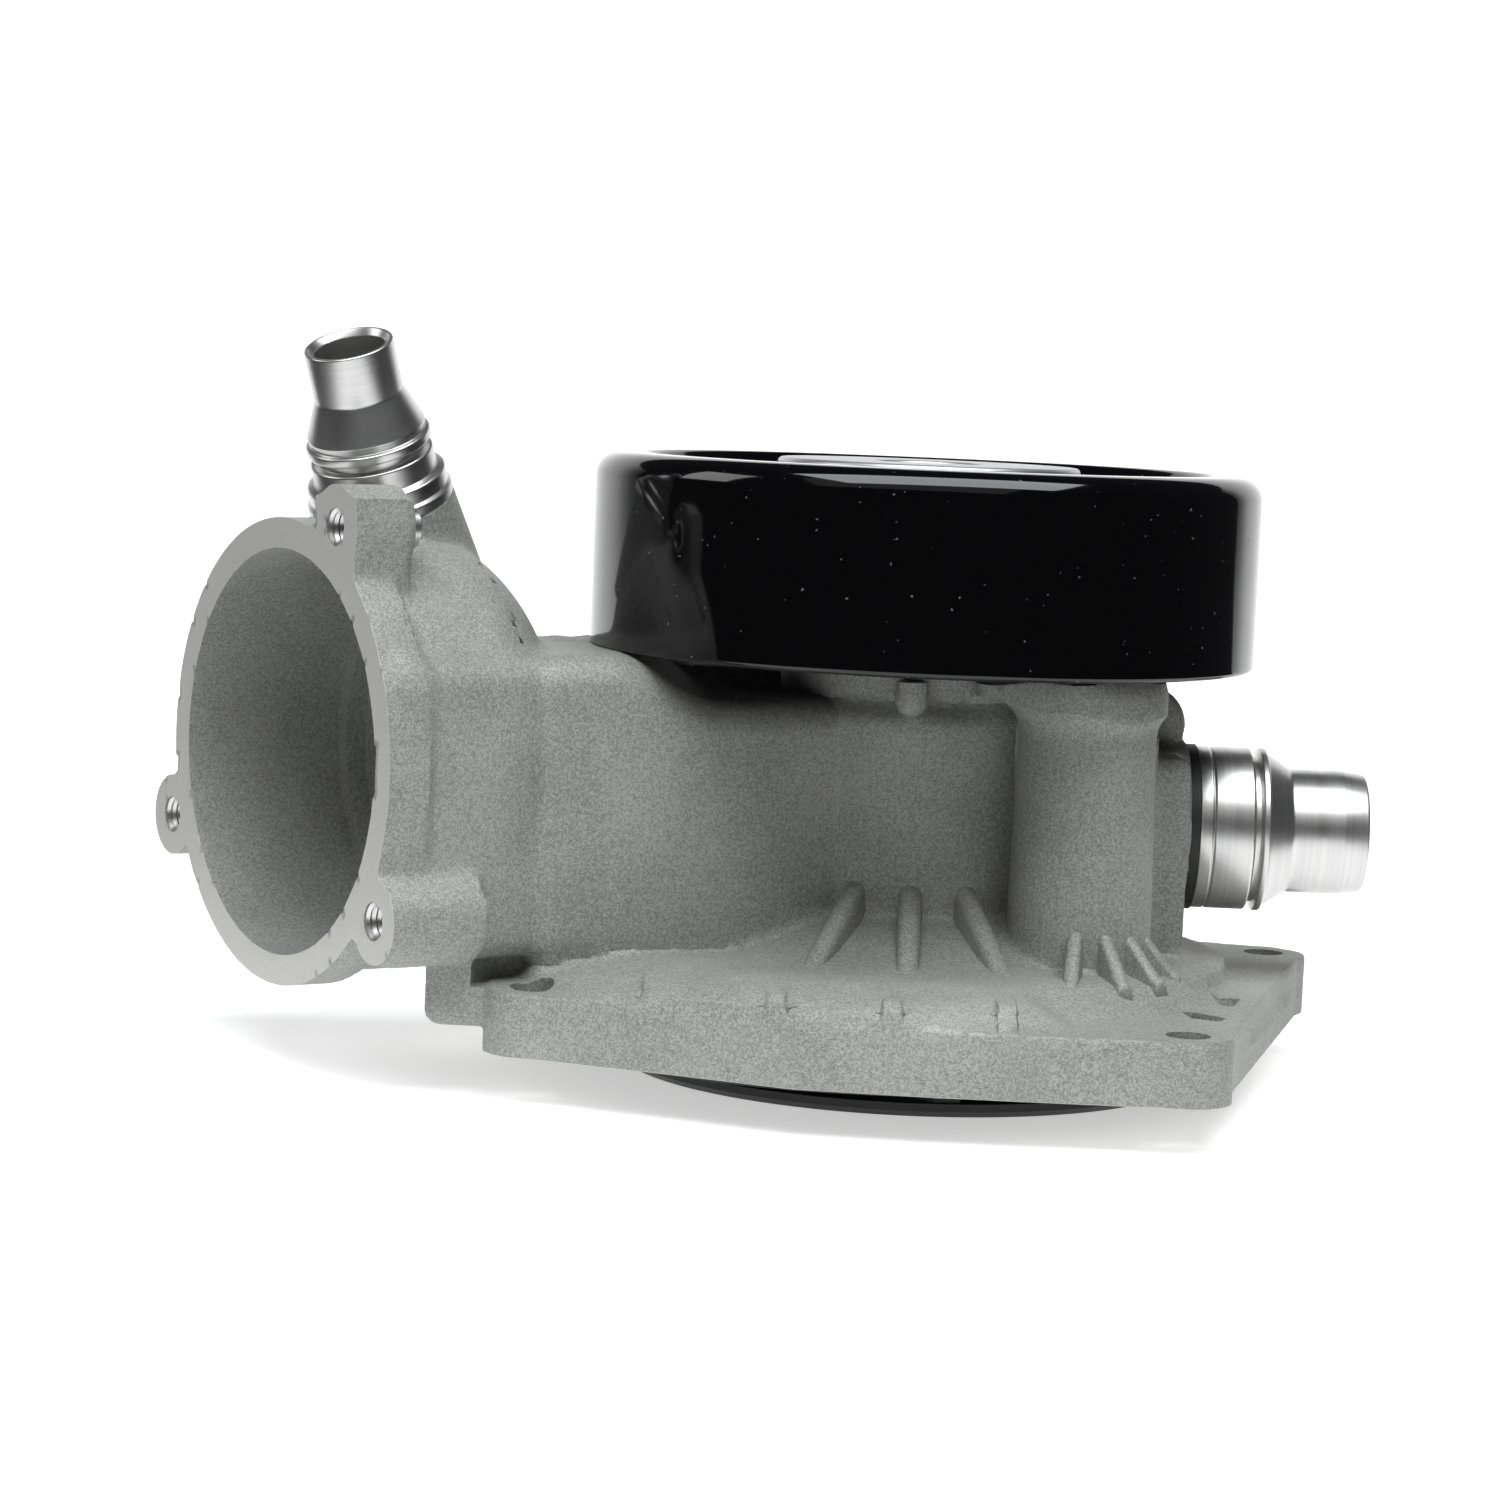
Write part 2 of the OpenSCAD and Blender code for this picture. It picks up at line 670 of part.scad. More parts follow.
// Points of a helix of wire: rings of points round the helix line, then end caps.
module seal_spring() {
    sides = 8;
    per_turn = 20;
    rings = spring_turns * per_turn;
    z0 = carbon_z + carbon_t + 1.2;
    rise = seal_top - cup_t - bellows_lip_h - z0 - 2 * spring_wire_r - 0.6;
    points = [for (i = [0 : rings]) for (j = [0 : sides - 1])
        let (a = i * 360 / per_turn, b = j * 360 / sides, r = spring_r + spring_wire_r * cos(b))
        [r * cos(a), r * sin(a), z0 + spring_wire_r * (1 + sin(b)) + rise * i / rings]];
    skin = [for (i = [0 : rings - 1]) for (j = [0 : sides - 1])
        let (k = (j + 1) % sides)
        [i * sides + j, i * sides + k, (i + 1) * sides + k, (i + 1) * sides + j]];
    start = [for (j = [sides - 1 : -1 : 0]) j];
    finish = [for (j = [0 : sides - 1]) rings * sides + j];
    color([0.75, 0.76, 0.78]) polyhedron(points, concat(skin, [start, finish]), convexity = 8);
}

module seal_carbon_ring() {
    color([0.16, 0.16, 0.17]) translate([0, 0, carbon_z]) tube(carbon_r, shaft_clear_r + 0.1, carbon_t);
}

module seal_seat_ring() {
    color([0.92, 0.91, 0.88]) translate([0, 0, seat_z]) tube(seat_r, shaft_r + boot_t, seat_t);
}

module seal_seat_boot() {
    color([0.08, 0.08, 0.08]) translate([0, 0, seat_z]) tube(shaft_r + boot_t, shaft_r, seat_t - 0.6);
}

// ---------------------------------------------------------------- nipples

// Quick-connect nipple on local +Z: spigot, collar, catch groove, cone and tip.
module nipple(body_r, tip_r, bore_r, collar_r, collar_h, len, cone_at, cone_len,
              spigot_r, spigot_len, o_ring_depth) {
    round_r = 1.4;
    groove = 1.3;
    ring = 1.2;
    difference() {
        union() {
            translate([0, 0, -spigot_len]) cylinder(r = spigot_r, h = spigot_len + eps);
            cylinder(r = collar_r, h = collar_h);
            cylinder(r = body_r, h = cone_at - ring - groove);
            cylinder(r = body_r - 1.2, h = cone_at);
            translate([0, 0, cone_at - ring]) cylinder(r = body_r + 0.1, h = ring);
            translate([0, 0, cone_at]) cylinder(r = body_r - 0.5, h = 0.8);
            translate([0, 0, cone_at + 0.8]) cylinder(r1 = body_r - 0.5, r2 = tip_r, h = cone_len - 0.8);
            translate([0, 0, cone_at]) cylinder(r = tip_r, h = len - cone_at - round_r);
            translate([0, 0, len - round_r]) rotate_extrude() intersection() {
                union() {
                    square([tip_r - round_r, round_r]);
                    translate([tip_r - round_r, 0]) circle(r = round_r);
                }
                square([tip_r, round_r]);
            }
        }
        translate([0, 0, -o_ring_depth - o_ring_groove / 2])
            tube(spigot_r + 1, spigot_r - o_ring_groove + 0.1, o_ring_groove);
        translate([0, 0, -spigot_len - 1]) cylinder(r = bore_r, h = len + spigot_len + 2);
        translate([0, 0, len - 0.8]) cylinder(r1 = bore_r, r2 = bore_r + 1, h = 1);
    }
}

module upper_nipple() {
    color([0.83, 0.84, 0.85]) at_top_nipple()
        nipple(top_nipple_d / 2, top_tip_d / 2, top_bore_d / 2, top_collar_d / 2, top_collar_h,
               top_len, 11.4, 7.4, top_spigot_d / 2, top_spigot_len, top_o_ring_depth);
}

module side_nipple() {
    color([0.83, 0.84, 0.85]) at_side_nipple() translate([0, 0, face_ring_t])
        nipple(side_nipple_d / 2, side_tip_d / 2, side_bore_d / 2, side_nipple_d / 2, side_collar_h,
               side_len - face_ring_t, 11.5, 4.4, side_spigot_d / 2,
               side_spigot_len + face_ring_t - 0.3, side_o_ring_depth);
}

// O-ring that lies in a spigot groove, on local +Z.
module spigot_o_ring(spigot_r, o_ring_depth) {
    translate([0, 0, -o_ring_depth]) rotate_extrude()
        translate([spigot_r - o_ring_groove / 2, 0]) circle(d = o_ring_groove - o_ring_slack);
}

module upper_nipple_o_ring() {
    color([0.06, 0.06, 0.06]) at_top_nipple() spigot_o_ring(top_spigot_d / 2, top_o_ring_depth);
}

module side_nipple_o_ring() {
    color([0.06, 0.06, 0.06]) at_side_nipple() translate([0, 0, face_ring_t])
        spigot_o_ring(side_spigot_d / 2, side_o_ring_depth);
}

// Black sealing washer that shows between the housing and the side nipple.
module side_nipple_washer() {
    color([0.06, 0.06, 0.06]) at_side_nipple() tube(side_nipple_d / 2 + 0.3, side_spigot_d / 2, face_ring_t);
}

// ---------------------------------------------------------------- gasket and plug

module mounting_gasket() {
    color([0.1, 0.1, 0.11]) translate([0, 0, -gasket_stand]) linear_extrude(gasket_t) gasket_loop();
}

module weep_plug() {
    color([0.7, 0.71, 0.72]) translate([0, 0, weep_z]) rotate([0, 0, weep_angle]) rotate([0, 90, 0])
        translate([0, 0, tower_r - 3]) cylinder(d = weep_d, h = weep_plug_h);
}

housing();
bearing_outer_ring();
bearing_seal_upper();
bearing_seal_lower();
bearing_balls();
ball_cage();
bearing_rollers();
roller_cage();
shaft();
pulley();
pulley_hub();
impeller_wheel();
impeller_top_ring();
impeller_bush();
seal_cup();
seal_bellows();
seal_spring();
seal_carbon_ring();
seal_seat_ring();
seal_seat_boot();
upper_nipple();
upper_nipple_o_ring();
side_nipple();
side_nipple_o_ring();
side_nipple_washer();
mounting_gasket();
weep_plug();
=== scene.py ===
# %% [markdown]
# # A belt-driven coolant pump
# The pump is one aluminium casting that carries everything else: two turned nipples, a
# black pulley on a steel hub, a plastic impeller, and inside it the bearing and the seal.
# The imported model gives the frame: every piece below is made in metres in that frame, and
# rides on the body that moves it.

import json
import math

import bpy
import numpy as np
from mathutils import Matrix, Vector


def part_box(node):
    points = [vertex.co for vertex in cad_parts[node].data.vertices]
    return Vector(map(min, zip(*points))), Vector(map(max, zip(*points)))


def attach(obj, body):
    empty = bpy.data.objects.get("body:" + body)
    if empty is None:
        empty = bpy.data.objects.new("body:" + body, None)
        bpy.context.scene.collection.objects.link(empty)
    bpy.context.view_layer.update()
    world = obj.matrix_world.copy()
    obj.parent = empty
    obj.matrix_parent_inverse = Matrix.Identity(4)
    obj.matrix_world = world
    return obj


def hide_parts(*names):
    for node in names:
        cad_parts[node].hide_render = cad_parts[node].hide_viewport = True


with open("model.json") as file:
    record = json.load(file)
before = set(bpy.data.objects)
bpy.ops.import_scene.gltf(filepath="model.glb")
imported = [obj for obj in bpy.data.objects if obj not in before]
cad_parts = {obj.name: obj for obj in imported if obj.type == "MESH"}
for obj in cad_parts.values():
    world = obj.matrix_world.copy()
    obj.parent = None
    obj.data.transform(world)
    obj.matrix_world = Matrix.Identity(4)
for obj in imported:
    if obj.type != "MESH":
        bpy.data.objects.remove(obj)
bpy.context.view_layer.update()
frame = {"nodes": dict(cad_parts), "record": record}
MM = 0.001

# %% [markdown]
# ## Camera
# A long lens from about 0.64 m, level with the pulley and looking slightly down. The pump
# leans a little on its impeller, so the camera is rolled by the same small angle.

# %% Camera
CAMERA_PLACE = Vector((-27.6, -640.0, 106.3)) * MM
CAMERA_DOWN = math.radians(5.53)
CAMERA_ROLL = math.radians(2.43)
LENS_MM = 92.6


def make_camera():
    """Look along +Y, pitched down, then turned about the line of sight."""
    camera = bpy.data.objects.new("camera", bpy.data.cameras.new("camera"))
    camera.data.lens = LENS_MM
    camera.data.sensor_width = 36.0
    ahead = Vector((0, math.cos(CAMERA_DOWN), -math.sin(CAMERA_DOWN)))
    right = Vector((1, 0, 0))
    up = right.cross(ahead)
    across = math.cos(CAMERA_ROLL) * right + math.sin(CAMERA_ROLL) * up
    above = -math.sin(CAMERA_ROLL) * right + math.cos(CAMERA_ROLL) * up
    turn = Matrix((across, above, -ahead)).transposed().to_4x4()
    camera.matrix_world = Matrix.Translation(CAMERA_PLACE) @ turn
    camera.data.clip_start = 0.01
    bpy.context.scene.collection.objects.link(camera)
    bpy.context.scene.camera = camera
    return camera


camera = make_camera()
bpy.context.scene.view_settings.view_transform = "Standard"
print("camera at", [round(v, 3) for v in camera.location])

# %% [markdown]
# ## Meshes from arrays
# Every new piece is an array of points and an array of faces. One helper turns them into
# an object; edges sharper than a given angle stay crisp and all others are shaded smooth.

# %% Mesh helper
SHARP_ANGLE = math.radians(32)


def make_piece(name, points_mm, faces, material=None, sharp=SHARP_ANGLE):
    """Object from points in millimetres and a list of faces."""
    mesh = bpy.data.meshes.new(name)
    mesh.from_pydata((np.asarray(points_mm) * MM).tolist(), [], faces)
    mesh.validate()
    mesh.shade_smooth()
    mesh.set_sharp_from_angle(angle=sharp)
    piece = bpy.data.objects.new(name, mesh)
    bpy.context.scene.collection.objects.link(piece)
    if material:
        mesh.materials.append(material)
    print(f"{name}: {len(mesh.vertices)} points, {len(mesh.polygons)} faces")
    return piece


# %% [markdown]
# ## Shader maths
# A material is easier to read as a formula. The class below wraps a socket, so that
# `1 - mask * 0.5` adds the Math nodes for it, and `node()` adds any other kind of node.

# %% Shader maths


class Value:
    """A socket that carries a number; arithmetic on it adds Math nodes."""

    def __init__(self, shade, socket):
        self.shade = shade
        self.socket = socket

    def maths(self, operation, *others):
        return self.shade.node("ShaderNodeMath", {"operation": operation}, self, *others)

    def __add__(self, other):
        return self.maths("ADD", other)

    def __radd__(self, other):
        return self.maths("ADD", other)

    def __sub__(self, other):
        return self.maths("SUBTRACT", other)

    def __rsub__(self, other):
        return self.shade.node("ShaderNodeMath", {"operation": "SUBTRACT"}, other, self)

    def __mul__(self, other):
        return self.maths("MULTIPLY", other)

    def __rmul__(self, other):
        return self.maths("MULTIPLY", other)

    def __pow__(self, other):
        return self.maths("POWER", other)

    def step(self, low, high):
        """0 below low, 1 above high, smooth between."""
        settings = {"interpolation_type": "SMOOTHSTEP"}
        return self.shade.node("ShaderNodeMapRange", settings, self, low, high, 0.0, 1.0)


class Shade:
    """One material and the nodes that its formulas add."""

    def __init__(self, name, **constants):
        self.material = bpy.data.materials.new(name)
        self.material.use_nodes = True
        self.tree = self.material.node_tree
        self.shader = self.tree.nodes["Principled BSDF"]
        for socket, value in constants.items():
            self.set(socket.replace("_", " "), value)

    def set(self, socket, value):
        """Links a Value to one of the shader's sockets, or sets it to a number or colour."""
        target = self.shader.inputs[socket]
        if isinstance(value, Value):
            self.tree.links.new(value.socket, target)
        else:
            target.default_value = value if isinstance(value, (int, float)) else (*value, 1)[:4]

    def node(self, kind, settings=None, *inputs, out=0, **named):
        """Adds a node, sets it up, feeds its sockets in order and by name, returns an output."""
        node = self.tree.nodes.new(kind)
        for key, value in (settings or {}).items():
            if key == "stops":
                ramp = node.color_ramp.elements
                for place, colour in value[2:]:
                    ramp.new(place)
                for element, (place, colour) in zip(ramp, value):
                    element.position, element.color = place, (*colour, 1)
            else:
                setattr(node, key, value)
        for socket, value in [*zip(node.inputs, inputs), *((node.inputs[k], v) for k, v in named.items())]:
            if isinstance(value, Value):
                self.tree.links.new(value.socket, socket)
            elif value is not None:
                socket.default_value = value
        return Value(self, node.outputs[out])

    def place(self, centre_mm=(0, 0, 0), turn=(0, 0, 0)):
        """Object coordinates, measured from centre_mm and turned into a piece's own axes."""
        where = self.node("ShaderNodeTexCoord", out=3)
        spun = self.node("ShaderNodeMapping", {"vector_type": "TEXTURE"}, where,
                         tuple(v * MM for v in centre_mm), turn)
        return spun

    def axes(self, where):
        """The three numbers of a place."""
        split = self.node("ShaderNodeSeparateXYZ", None, where).socket.node
        return [Value(self, split.outputs[i]) for i in range(3)]

    def noise(self, where, size_mm, detail=2.0, roughness=0.5, distortion=0.0):
        """Cloudy noise with features about size_mm across."""
        return self.node("ShaderNodeTexNoise", None, where, Scale=1 / (size_mm * MM), Detail=detail,
                         Roughness=roughness, Distortion=distortion)

    def mix(self, factor, a, b):
        """Colour a where factor is 0 and colour b where it is 1."""
        node = self.tree.nodes.new("ShaderNodeMix")
        node.data_type = "RGBA"
        for index, value in ((0, factor), (6, a), (7, b)):
            if isinstance(value, Value):
                self.tree.links.new(value.socket, node.inputs[index])
            else:
                node.inputs[index].default_value = value if isinstance(value, float) else (*value, 1)
        return Value(self, node.outputs[2])

    def bump(self, height, distance_mm, strength=1.0):
        """Roughens the surface by a height from 0 to 1 that stands for distance_mm."""
        self.set("Normal", self.node("ShaderNodeBump", None, Height=height,
                                     Distance=distance_mm * MM, Strength=strength))


print("shader helpers ready")

# %% [markdown]
# ## Stage
# The pump stands on white paper that curves up behind it. The paper is narrow in front and
# opens out behind, and it dims towards its side edges. A glossy black rim then mirrors a
# dark room in the middle and a soft bright band only at its two sides.

# %% Stage and lights
FLOOR_Z = -7.5
SHEET = {"near": -330.0, "far": 1500.0, "half_front": 120.0, "flare": 0.25, "high": 1100.0}
SHEET_OPENING = {"left": math.radians(60), "right": math.radians(52)}


def stage_sheet():
    """Sheet as a profile (floor, quarter circle, wall) carried along X. Its half width grows
    slowly beside the pump and then follows a line that leaves the pump at an opening angle."""
    bend = 300.0
    floor = np.linspace(SHEET["near"], SHEET["far"] - bend, 24)
    turn = np.linspace(0, math.pi / 2, 24)
    along = np.concatenate([floor, SHEET["far"] - bend + bend * np.sin(turn), [SHEET["far"]]])
    high = np.concatenate([0 * floor, bend - bend * np.cos(turn), [SHEET["high"]]]) + FLOOR_Z
    front = SHEET["half_front"] + SHEET["flare"] * (along - SHEET["near"])
    left = -np.maximum(front + 30, math.tan(SHEET_OPENING["left"]) * along)
    right = np.maximum(front, math.tan(SHEET_OPENING["right"]) * along)
    across = np.linspace(0, 1, 9)[:, None]
    x = left + (right - left) * across
    n = len(along)
    i, k = np.meshgrid(np.arange(8), np.arange(n - 1), indexing="ij")
    first = (i * n + k).ravel()
    faces = np.stack([first, first + 1, first + 1 + n, first + n], 1)
    y, z = np.broadcast_to(along, x.shape), np.broadcast_to(high, x.shape)
    return np.stack([x.ravel(), y.ravel(), z.ravel()], 1), faces.tolist()


def area_light(name, place, aim, size, power, colour=(1, 1, 1)):
    """Rectangular soft light at place, facing aim, both in metres."""
    light = bpy.data.lights.new(name, "AREA")
    light.shape = "RECTANGLE"
    light.size, light.size_y = size
    light.energy = power
    light.color = colour
    lamp = bpy.data.objects.new(name, light)
    lamp.location = place
    lamp.rotation_euler = (Vector(aim) - Vector(place)).to_track_quat("-Z", "Y").to_euler()
    bpy.context.scene.collection.objects.link(lamp)
    return lamp


def paper_material():
    """White paper that glows, more where the lamps do not reach it. The glow fades with the
    angle from straight back, on the right sooner than on the left."""
    shade = Shade("white_paper", Base_Color=(0.8, 0.8, 0.8), Roughness=0.9, Specular_IOR_Level=0.1,
                  Emission_Strength=1.0)
    x, y, _ = shade.axes(shade.place())
    angle = x.maths("ARCTAN2", y.maths("MAXIMUM", 0.05))
    fade = (angle * -1).step(math.radians(42), math.radians(60)) * 0.85
    fade = fade.maths("MAXIMUM", angle.step(math.radians(40), math.radians(52)) * 0.85)
    glow = shade.mix(y.step(0.0, 0.6), (0.5, 0.5, 0.5), (0.85, 0.85, 0.85))
    shade.set("Emission Color", shade.mix(fade * y.step(0.25, 0.5), glow, (0.0, 0.0, 0.0)))
    return shade.material


sheet = make_piece("white_sheet", *stage_sheet(), material=paper_material())
area_light("top_softbox", (0.05, -0.42, 1.05), (0, 0, 0), (1.3, 0.8), 19.0, (0.97, 0.985, 1.0))
area_light("front_softbox", (-0.15, -1.0, 0.95), (0, 0, 0.04), (1.6, 0.9), 1.5, (1.0, 0.995, 0.97))
area_light("left_softbox", (-0.95, -0.1, 0.55), (0, 0, 0.04), (0.4, 0.5), 2.0)
world = bpy.data.worlds.new("dim_room")
world.use_nodes = True
world.node_tree.nodes["Background"].inputs["Color"].default_value = (0.035, 0.035, 0.038, 1)
bpy.context.scene.world = world

# %% [markdown]
# ## Distances
# A casting has no sharp inner corners: every wall flows into the next with a fillet. That
# is hard to mesh by hand but easy to say with signed distances. Each shape is a function
# that is negative inside; the rounded union below joins two of them with a true fillet.

# %% Signed distances


def union(a, b, r=0.0):
    """Joins two shapes; where both surfaces are within r, a circle of radius r fills the corner."""
    near = np.minimum(a, b)
    if np.isscalar(r) and r == 0:
        return near
    fill = np.hypot(np.maximum(r - a, 0), np.maximum(r - b, 0))
    return np.maximum(r, near) - fill


def common(a, b, r=0.0):
    """What two shapes share, its edge rounded to radius r."""
    return -union(-a, -b, r)


def without(a, b, r=0.0):
    """Shape a with b cut away."""
    return common(a, -b, r)


def slab(t, low, high):
    """Distance to the layer from low to high."""
    return np.abs(t - (low + high) / 2) - (high - low) / 2


def disc(x, y, centre, radius):
    """Distance to a circle in plan."""
    return np.hypot(x - centre[0], y - centre[1]) - radius


def inset(points, r):
    """Moves each side of an outline inwards by r and meets the moved sides again."""
    pts = np.array(points, float)
    side = np.roll(pts, -1, 0) - pts
    area = np.sum(pts[:, 0] * np.roll(pts[:, 1], -1) - np.roll(pts[:, 0], -1) * pts[:, 1])
    inward = np.sign(area) * np.stack([-side[:, 1], side[:, 0]], 1)
    inward /= np.linalg.norm(inward, axis=1)[:, None]
    reach = np.sum(inward * pts, 1) + r
    before = np.roll(inward, 1, 0)
    pair = np.stack([before, inward], 1)
    return np.linalg.solve(pair, np.stack([np.roll(reach, 1), reach], 1)[..., None])[..., 0]


def outline(x, y, points, r=0.0):
    """Distance to a closed outline with its outer corners rounded to radius r: the nearest
    side gives the size, and how many sides a ray to the right crosses gives the sign."""
    pts = inset(points, r) if r else np.array(points, float)
    nearest = np.full(np.broadcast(x, y).shape, 1e12)
    inside = np.zeros(nearest.shape, bool)
    for (x0, y0), (x1, y1) in zip(pts, np.roll(pts, -1, 0)):
        dx, dy = x1 - x0, y1 - y0
        t = np.clip(((x - x0) * dx + (y - y0) * dy) / (dx * dx + dy * dy), 0, 1)
        nearest = np.minimum(nearest, (x - x0 - t * dx) ** 2 + (y - y0 - t * dy) ** 2)
        if dy:
            inside ^= ((y0 > y) != (y1 > y)) & (x < x0 + (y - y0) * dx / dy)
    return np.where(inside, -1, 1) * np.sqrt(nearest) - r


def ease(t):
    """0 below 0, 1 above 1, with a soft start and end."""
    t = np.clip(t, 0, 1)
    return t * t * (3 - 2 * t)


print("distance helpers ready")

# %% [markdown]
# ## The casting's dimensions
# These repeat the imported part's own values in millimetres: the mounting plate with its
# five bolt holes, the scroll that lies on it, the duct from the thermostat neck to the
# tower, and the axes of the two nipples.

# %% Dimensions
PLATE_T = 10.0
BOLT_HOLES = [(-60, -45), (40.4, -63.6), (63.5, 28), (12, 62.5), (-48, 45)]
PLATE = [(-58, -52.5), (-38, -60), (-19, -68), (2, -70), (22, -70.4), (42, -70.6), (45.5, -67),
         (70, 27), (66, 34.5), (50, 39.5), (19, 69), (5, 70), (-51, 52), (-62, 25), (-67, -46)]
LOBE = ((-59, 3), 21.0, 22.0)
SCROLL = ((-6, -7), 60.6, 14.4)
NOTCH = [(22, -90), (22, -55.6), (28.4, -50.7), (40.7, -39.3), (46, -34.5), (49, -25), (53, -8),
         (56, 4), (90, 4), (90, -90)]
POCKETS = [[(41.6, -39.4), (48.2, -45.6), (47.0, -49.6), (42.6, -46.8)],
           [(48.2, -26.2), (53.0, -25.6), (49.6, -38.4)]]
DUCT_HIGH = [(-83.5, -57), (-60, -40), (-50, -36.2), (-13.7, -21), (-6, 22), (-56, 22), (-79, 10), (-88, -30)]
DUCT_LOW = [(-60, -40), (-50, -36.2), (-13.7, -21), (-6, 22), (-56, 22), (-72, -15)]
SHELF = [(-60, 4), (-20, 8), (-18, 22), (-56, 22)]
RISER = (26.4, -24.0)
TOWER_R, DECK_Z = 25.0, 54.5
SLEEVE_R, SLEEVE_TOP = 23.0, 84.0
CHAMBER_R, CHAMBER_TOP = 50.0, 11.2
SCROLL_POCKET_R, SCROLL_POCKET_TOP = 57.0, 8.0
DUCT_WALL, DUCT_FLOOR, DUCT_CEILING = 4.5, 14.0, 50.0
ROOF_HIGH, ROOF_DROP = 61.0, 6.7
BOLT_R, EAR_R, BOLT_HEAD_R = 3.4, 7.0, 9.6
NECK_FACE = np.array([-103.0, -27.0, 43.5])
NECK_BORE_R, SEAT_R, SEAT_DEPTH = 32.5, 29.5, 28.0
FLANGE_R, FLANGE_T = 37.4, 7.5
BARREL_R, BARREL_LENGTH, EGG_LENGTH = 35.5, 21.7, 22.8
NECK_TURN = math.radians(34)
NECK_SCREWS = [math.radians(a) for a in (65, 201, 326)]
NECK_SCREW_R = 40.6
TOP_BASE = np.array([-88.9, -15.0, 83.8])
TOP_TILT, TOP_HEADING = math.radians(23.9), math.radians(242.5)
TOP_AXIS = np.array([math.sin(TOP_TILT) * math.cos(TOP_HEADING),
                     math.sin(TOP_TILT) * math.sin(TOP_HEADING), math.cos(TOP_TILT)])
SIDE_BASE = np.array([45.2, 2.0, 34.5])
SIDE_AXIS = np.array([1.0, 0.0, 0.0])
TOWER_RIBS = [math.radians(a) for a in (-113, -92, -71)]
RISER_RIBS = [math.radians(a) for a in (-97, -72, -48, -22)]
print("upper nipple leans along", TOP_AXIS.round(3))

# %% [markdown]
# ## Plate and scroll
# The plate is a flat outline, extruded. The scroll is a low round step on it whose rim
# slopes down at thirty degrees; its front reaches the plate's edge, and a corner of it is
# left flat round one bolt hole, with two small pockets beside it.

# %% Plate and scroll distances
RAMP_RUN, RAMP_RISE = 0.5, 0.866
PAD_R, PAD_TOP = 63.6, 13.8


def plate_plan(x, y):
    """Corners of the plate, joined with a round ear at every bolt hole."""
    plan = outline(x, y, PLATE, 3.0)
    for hole in BOLT_HOLES:
        plan = union(plan, disc(x, y, hole, EAR_R), 1.5)
    return plan


def plate_and_scroll(x, y, z):
    """Plate, round lobe, scroll with its sloping rim, front pad, pockets and small webs, and
    the cone round the tower."""
    plan = plate_plan(x, y)
    base = common(plan, z - PLATE_T, 0.7)
    base = union(base, common(disc(x, y, LOBE[0], LOBE[1]), z - LOBE[2], 3.0), 2.0)
    rho = np.hypot(x - SCROLL[0][0], y - SCROLL[0][1])
    ramp = (rho - SCROLL[1]) * RAMP_RUN + (z - PLATE_T) * RAMP_RISE
    scroll = common(common(ramp, z - SCROLL[2], 3.0), rho - SCROLL[1])
    front = common((rho - PAD_R) * RAMP_RUN + (z - PLATE_T) * RAMP_RISE, z - PAD_TOP, 2.0)
    pad = common(common(front, rho - PAD_R), slab(x, -42.5, 30), 0.6)
    scroll = common(union(scroll, pad, 0.8), plan + 0.6)
    notch = outline(x, y, NOTCH)
    scroll = common(scroll, np.maximum((z - PLATE_T - 0.6) * 0.9 - notch * 0.5, -notch), 1.2)
    wall = common(np.hypot(x, y) - 53.5, z - 13.4, 2.0)
    scroll = union(scroll, without(wall, notch, 2.0), 1.0)
    foot = 1.0 + 5.0 * ease((-41 - x) / 8)
    base = union(base, scroll, foot)
    for pocket in POCKETS:
        base = without(base, common(outline(x, y, pocket, 1.0), 7.2 - z), 0.3)
    for web_x in (-22.0, -4.6, 12.8):
        slope = (rho - 62.5) * RAMP_RUN + (z - 12.2) * RAMP_RISE
        web = common(np.maximum(slope, z - PAD_TOP), slab(x, web_x - 1.5, web_x + 1.5), 0.5)
        web = common(web, plan + 0.3)
        base = union(base, web, 0.6)
    axis = np.hypot(x, y)
    cone = common(np.maximum((axis - 41) * 0.38 + (z - 14.0) * 0.925, z - 24.0), 5 - z)
    base = union(base, cone, 2.0)
    return common(base, -z)


# %% [markdown]
# ## Duct and neck
# The duct's front wall is one smooth face that turns twice. Its roof is level at the neck
# and drops where it goes under the pulley. The neck is a barrel behind a flat flange,
# closed by half of an egg shape, with three screw lugs of which two are tied to the wall.

# %% Duct and neck distances


def neck_axes(x, y, z):
    """Depth behind the flange face, sideways and upwards distance from the bore's axis."""
    c, s = math.cos(NECK_TURN), math.sin(NECK_TURN)
    dx, dy = x - NECK_FACE[0], y - NECK_FACE[1]
    return dx * c + dy * s, dx * s - dy * c, z - NECK_FACE[2]


def duct(x, y, z):
    """Two plans under one roof that eases down towards the tower, the rear shelf, and a
    small hump beside the neck."""
    roof = ROOF_HIGH - ROOF_DROP * ease((x + 50) / 17)
    high = common(outline(x, y, DUCT_HIGH, 3.0), z - roof, 5.0)
    high = common(high, 14 - z, 3.0)
    low = common(common(outline(x, y, DUCT_LOW, 3.0), z - roof, 5.0), 2 - z)
    shelf = common(common(outline(x, y, SHELF, 2.0), z - 57.5, 1.5), 30 - z)
    hump = np.sqrt((x + 61) ** 2 + y ** 2 * 0.5 + ((z - 56) * 1.1) ** 2) - 6.2
    return union(union(union(high, low, 2.0), shelf, 2.0), hump, 2.0)


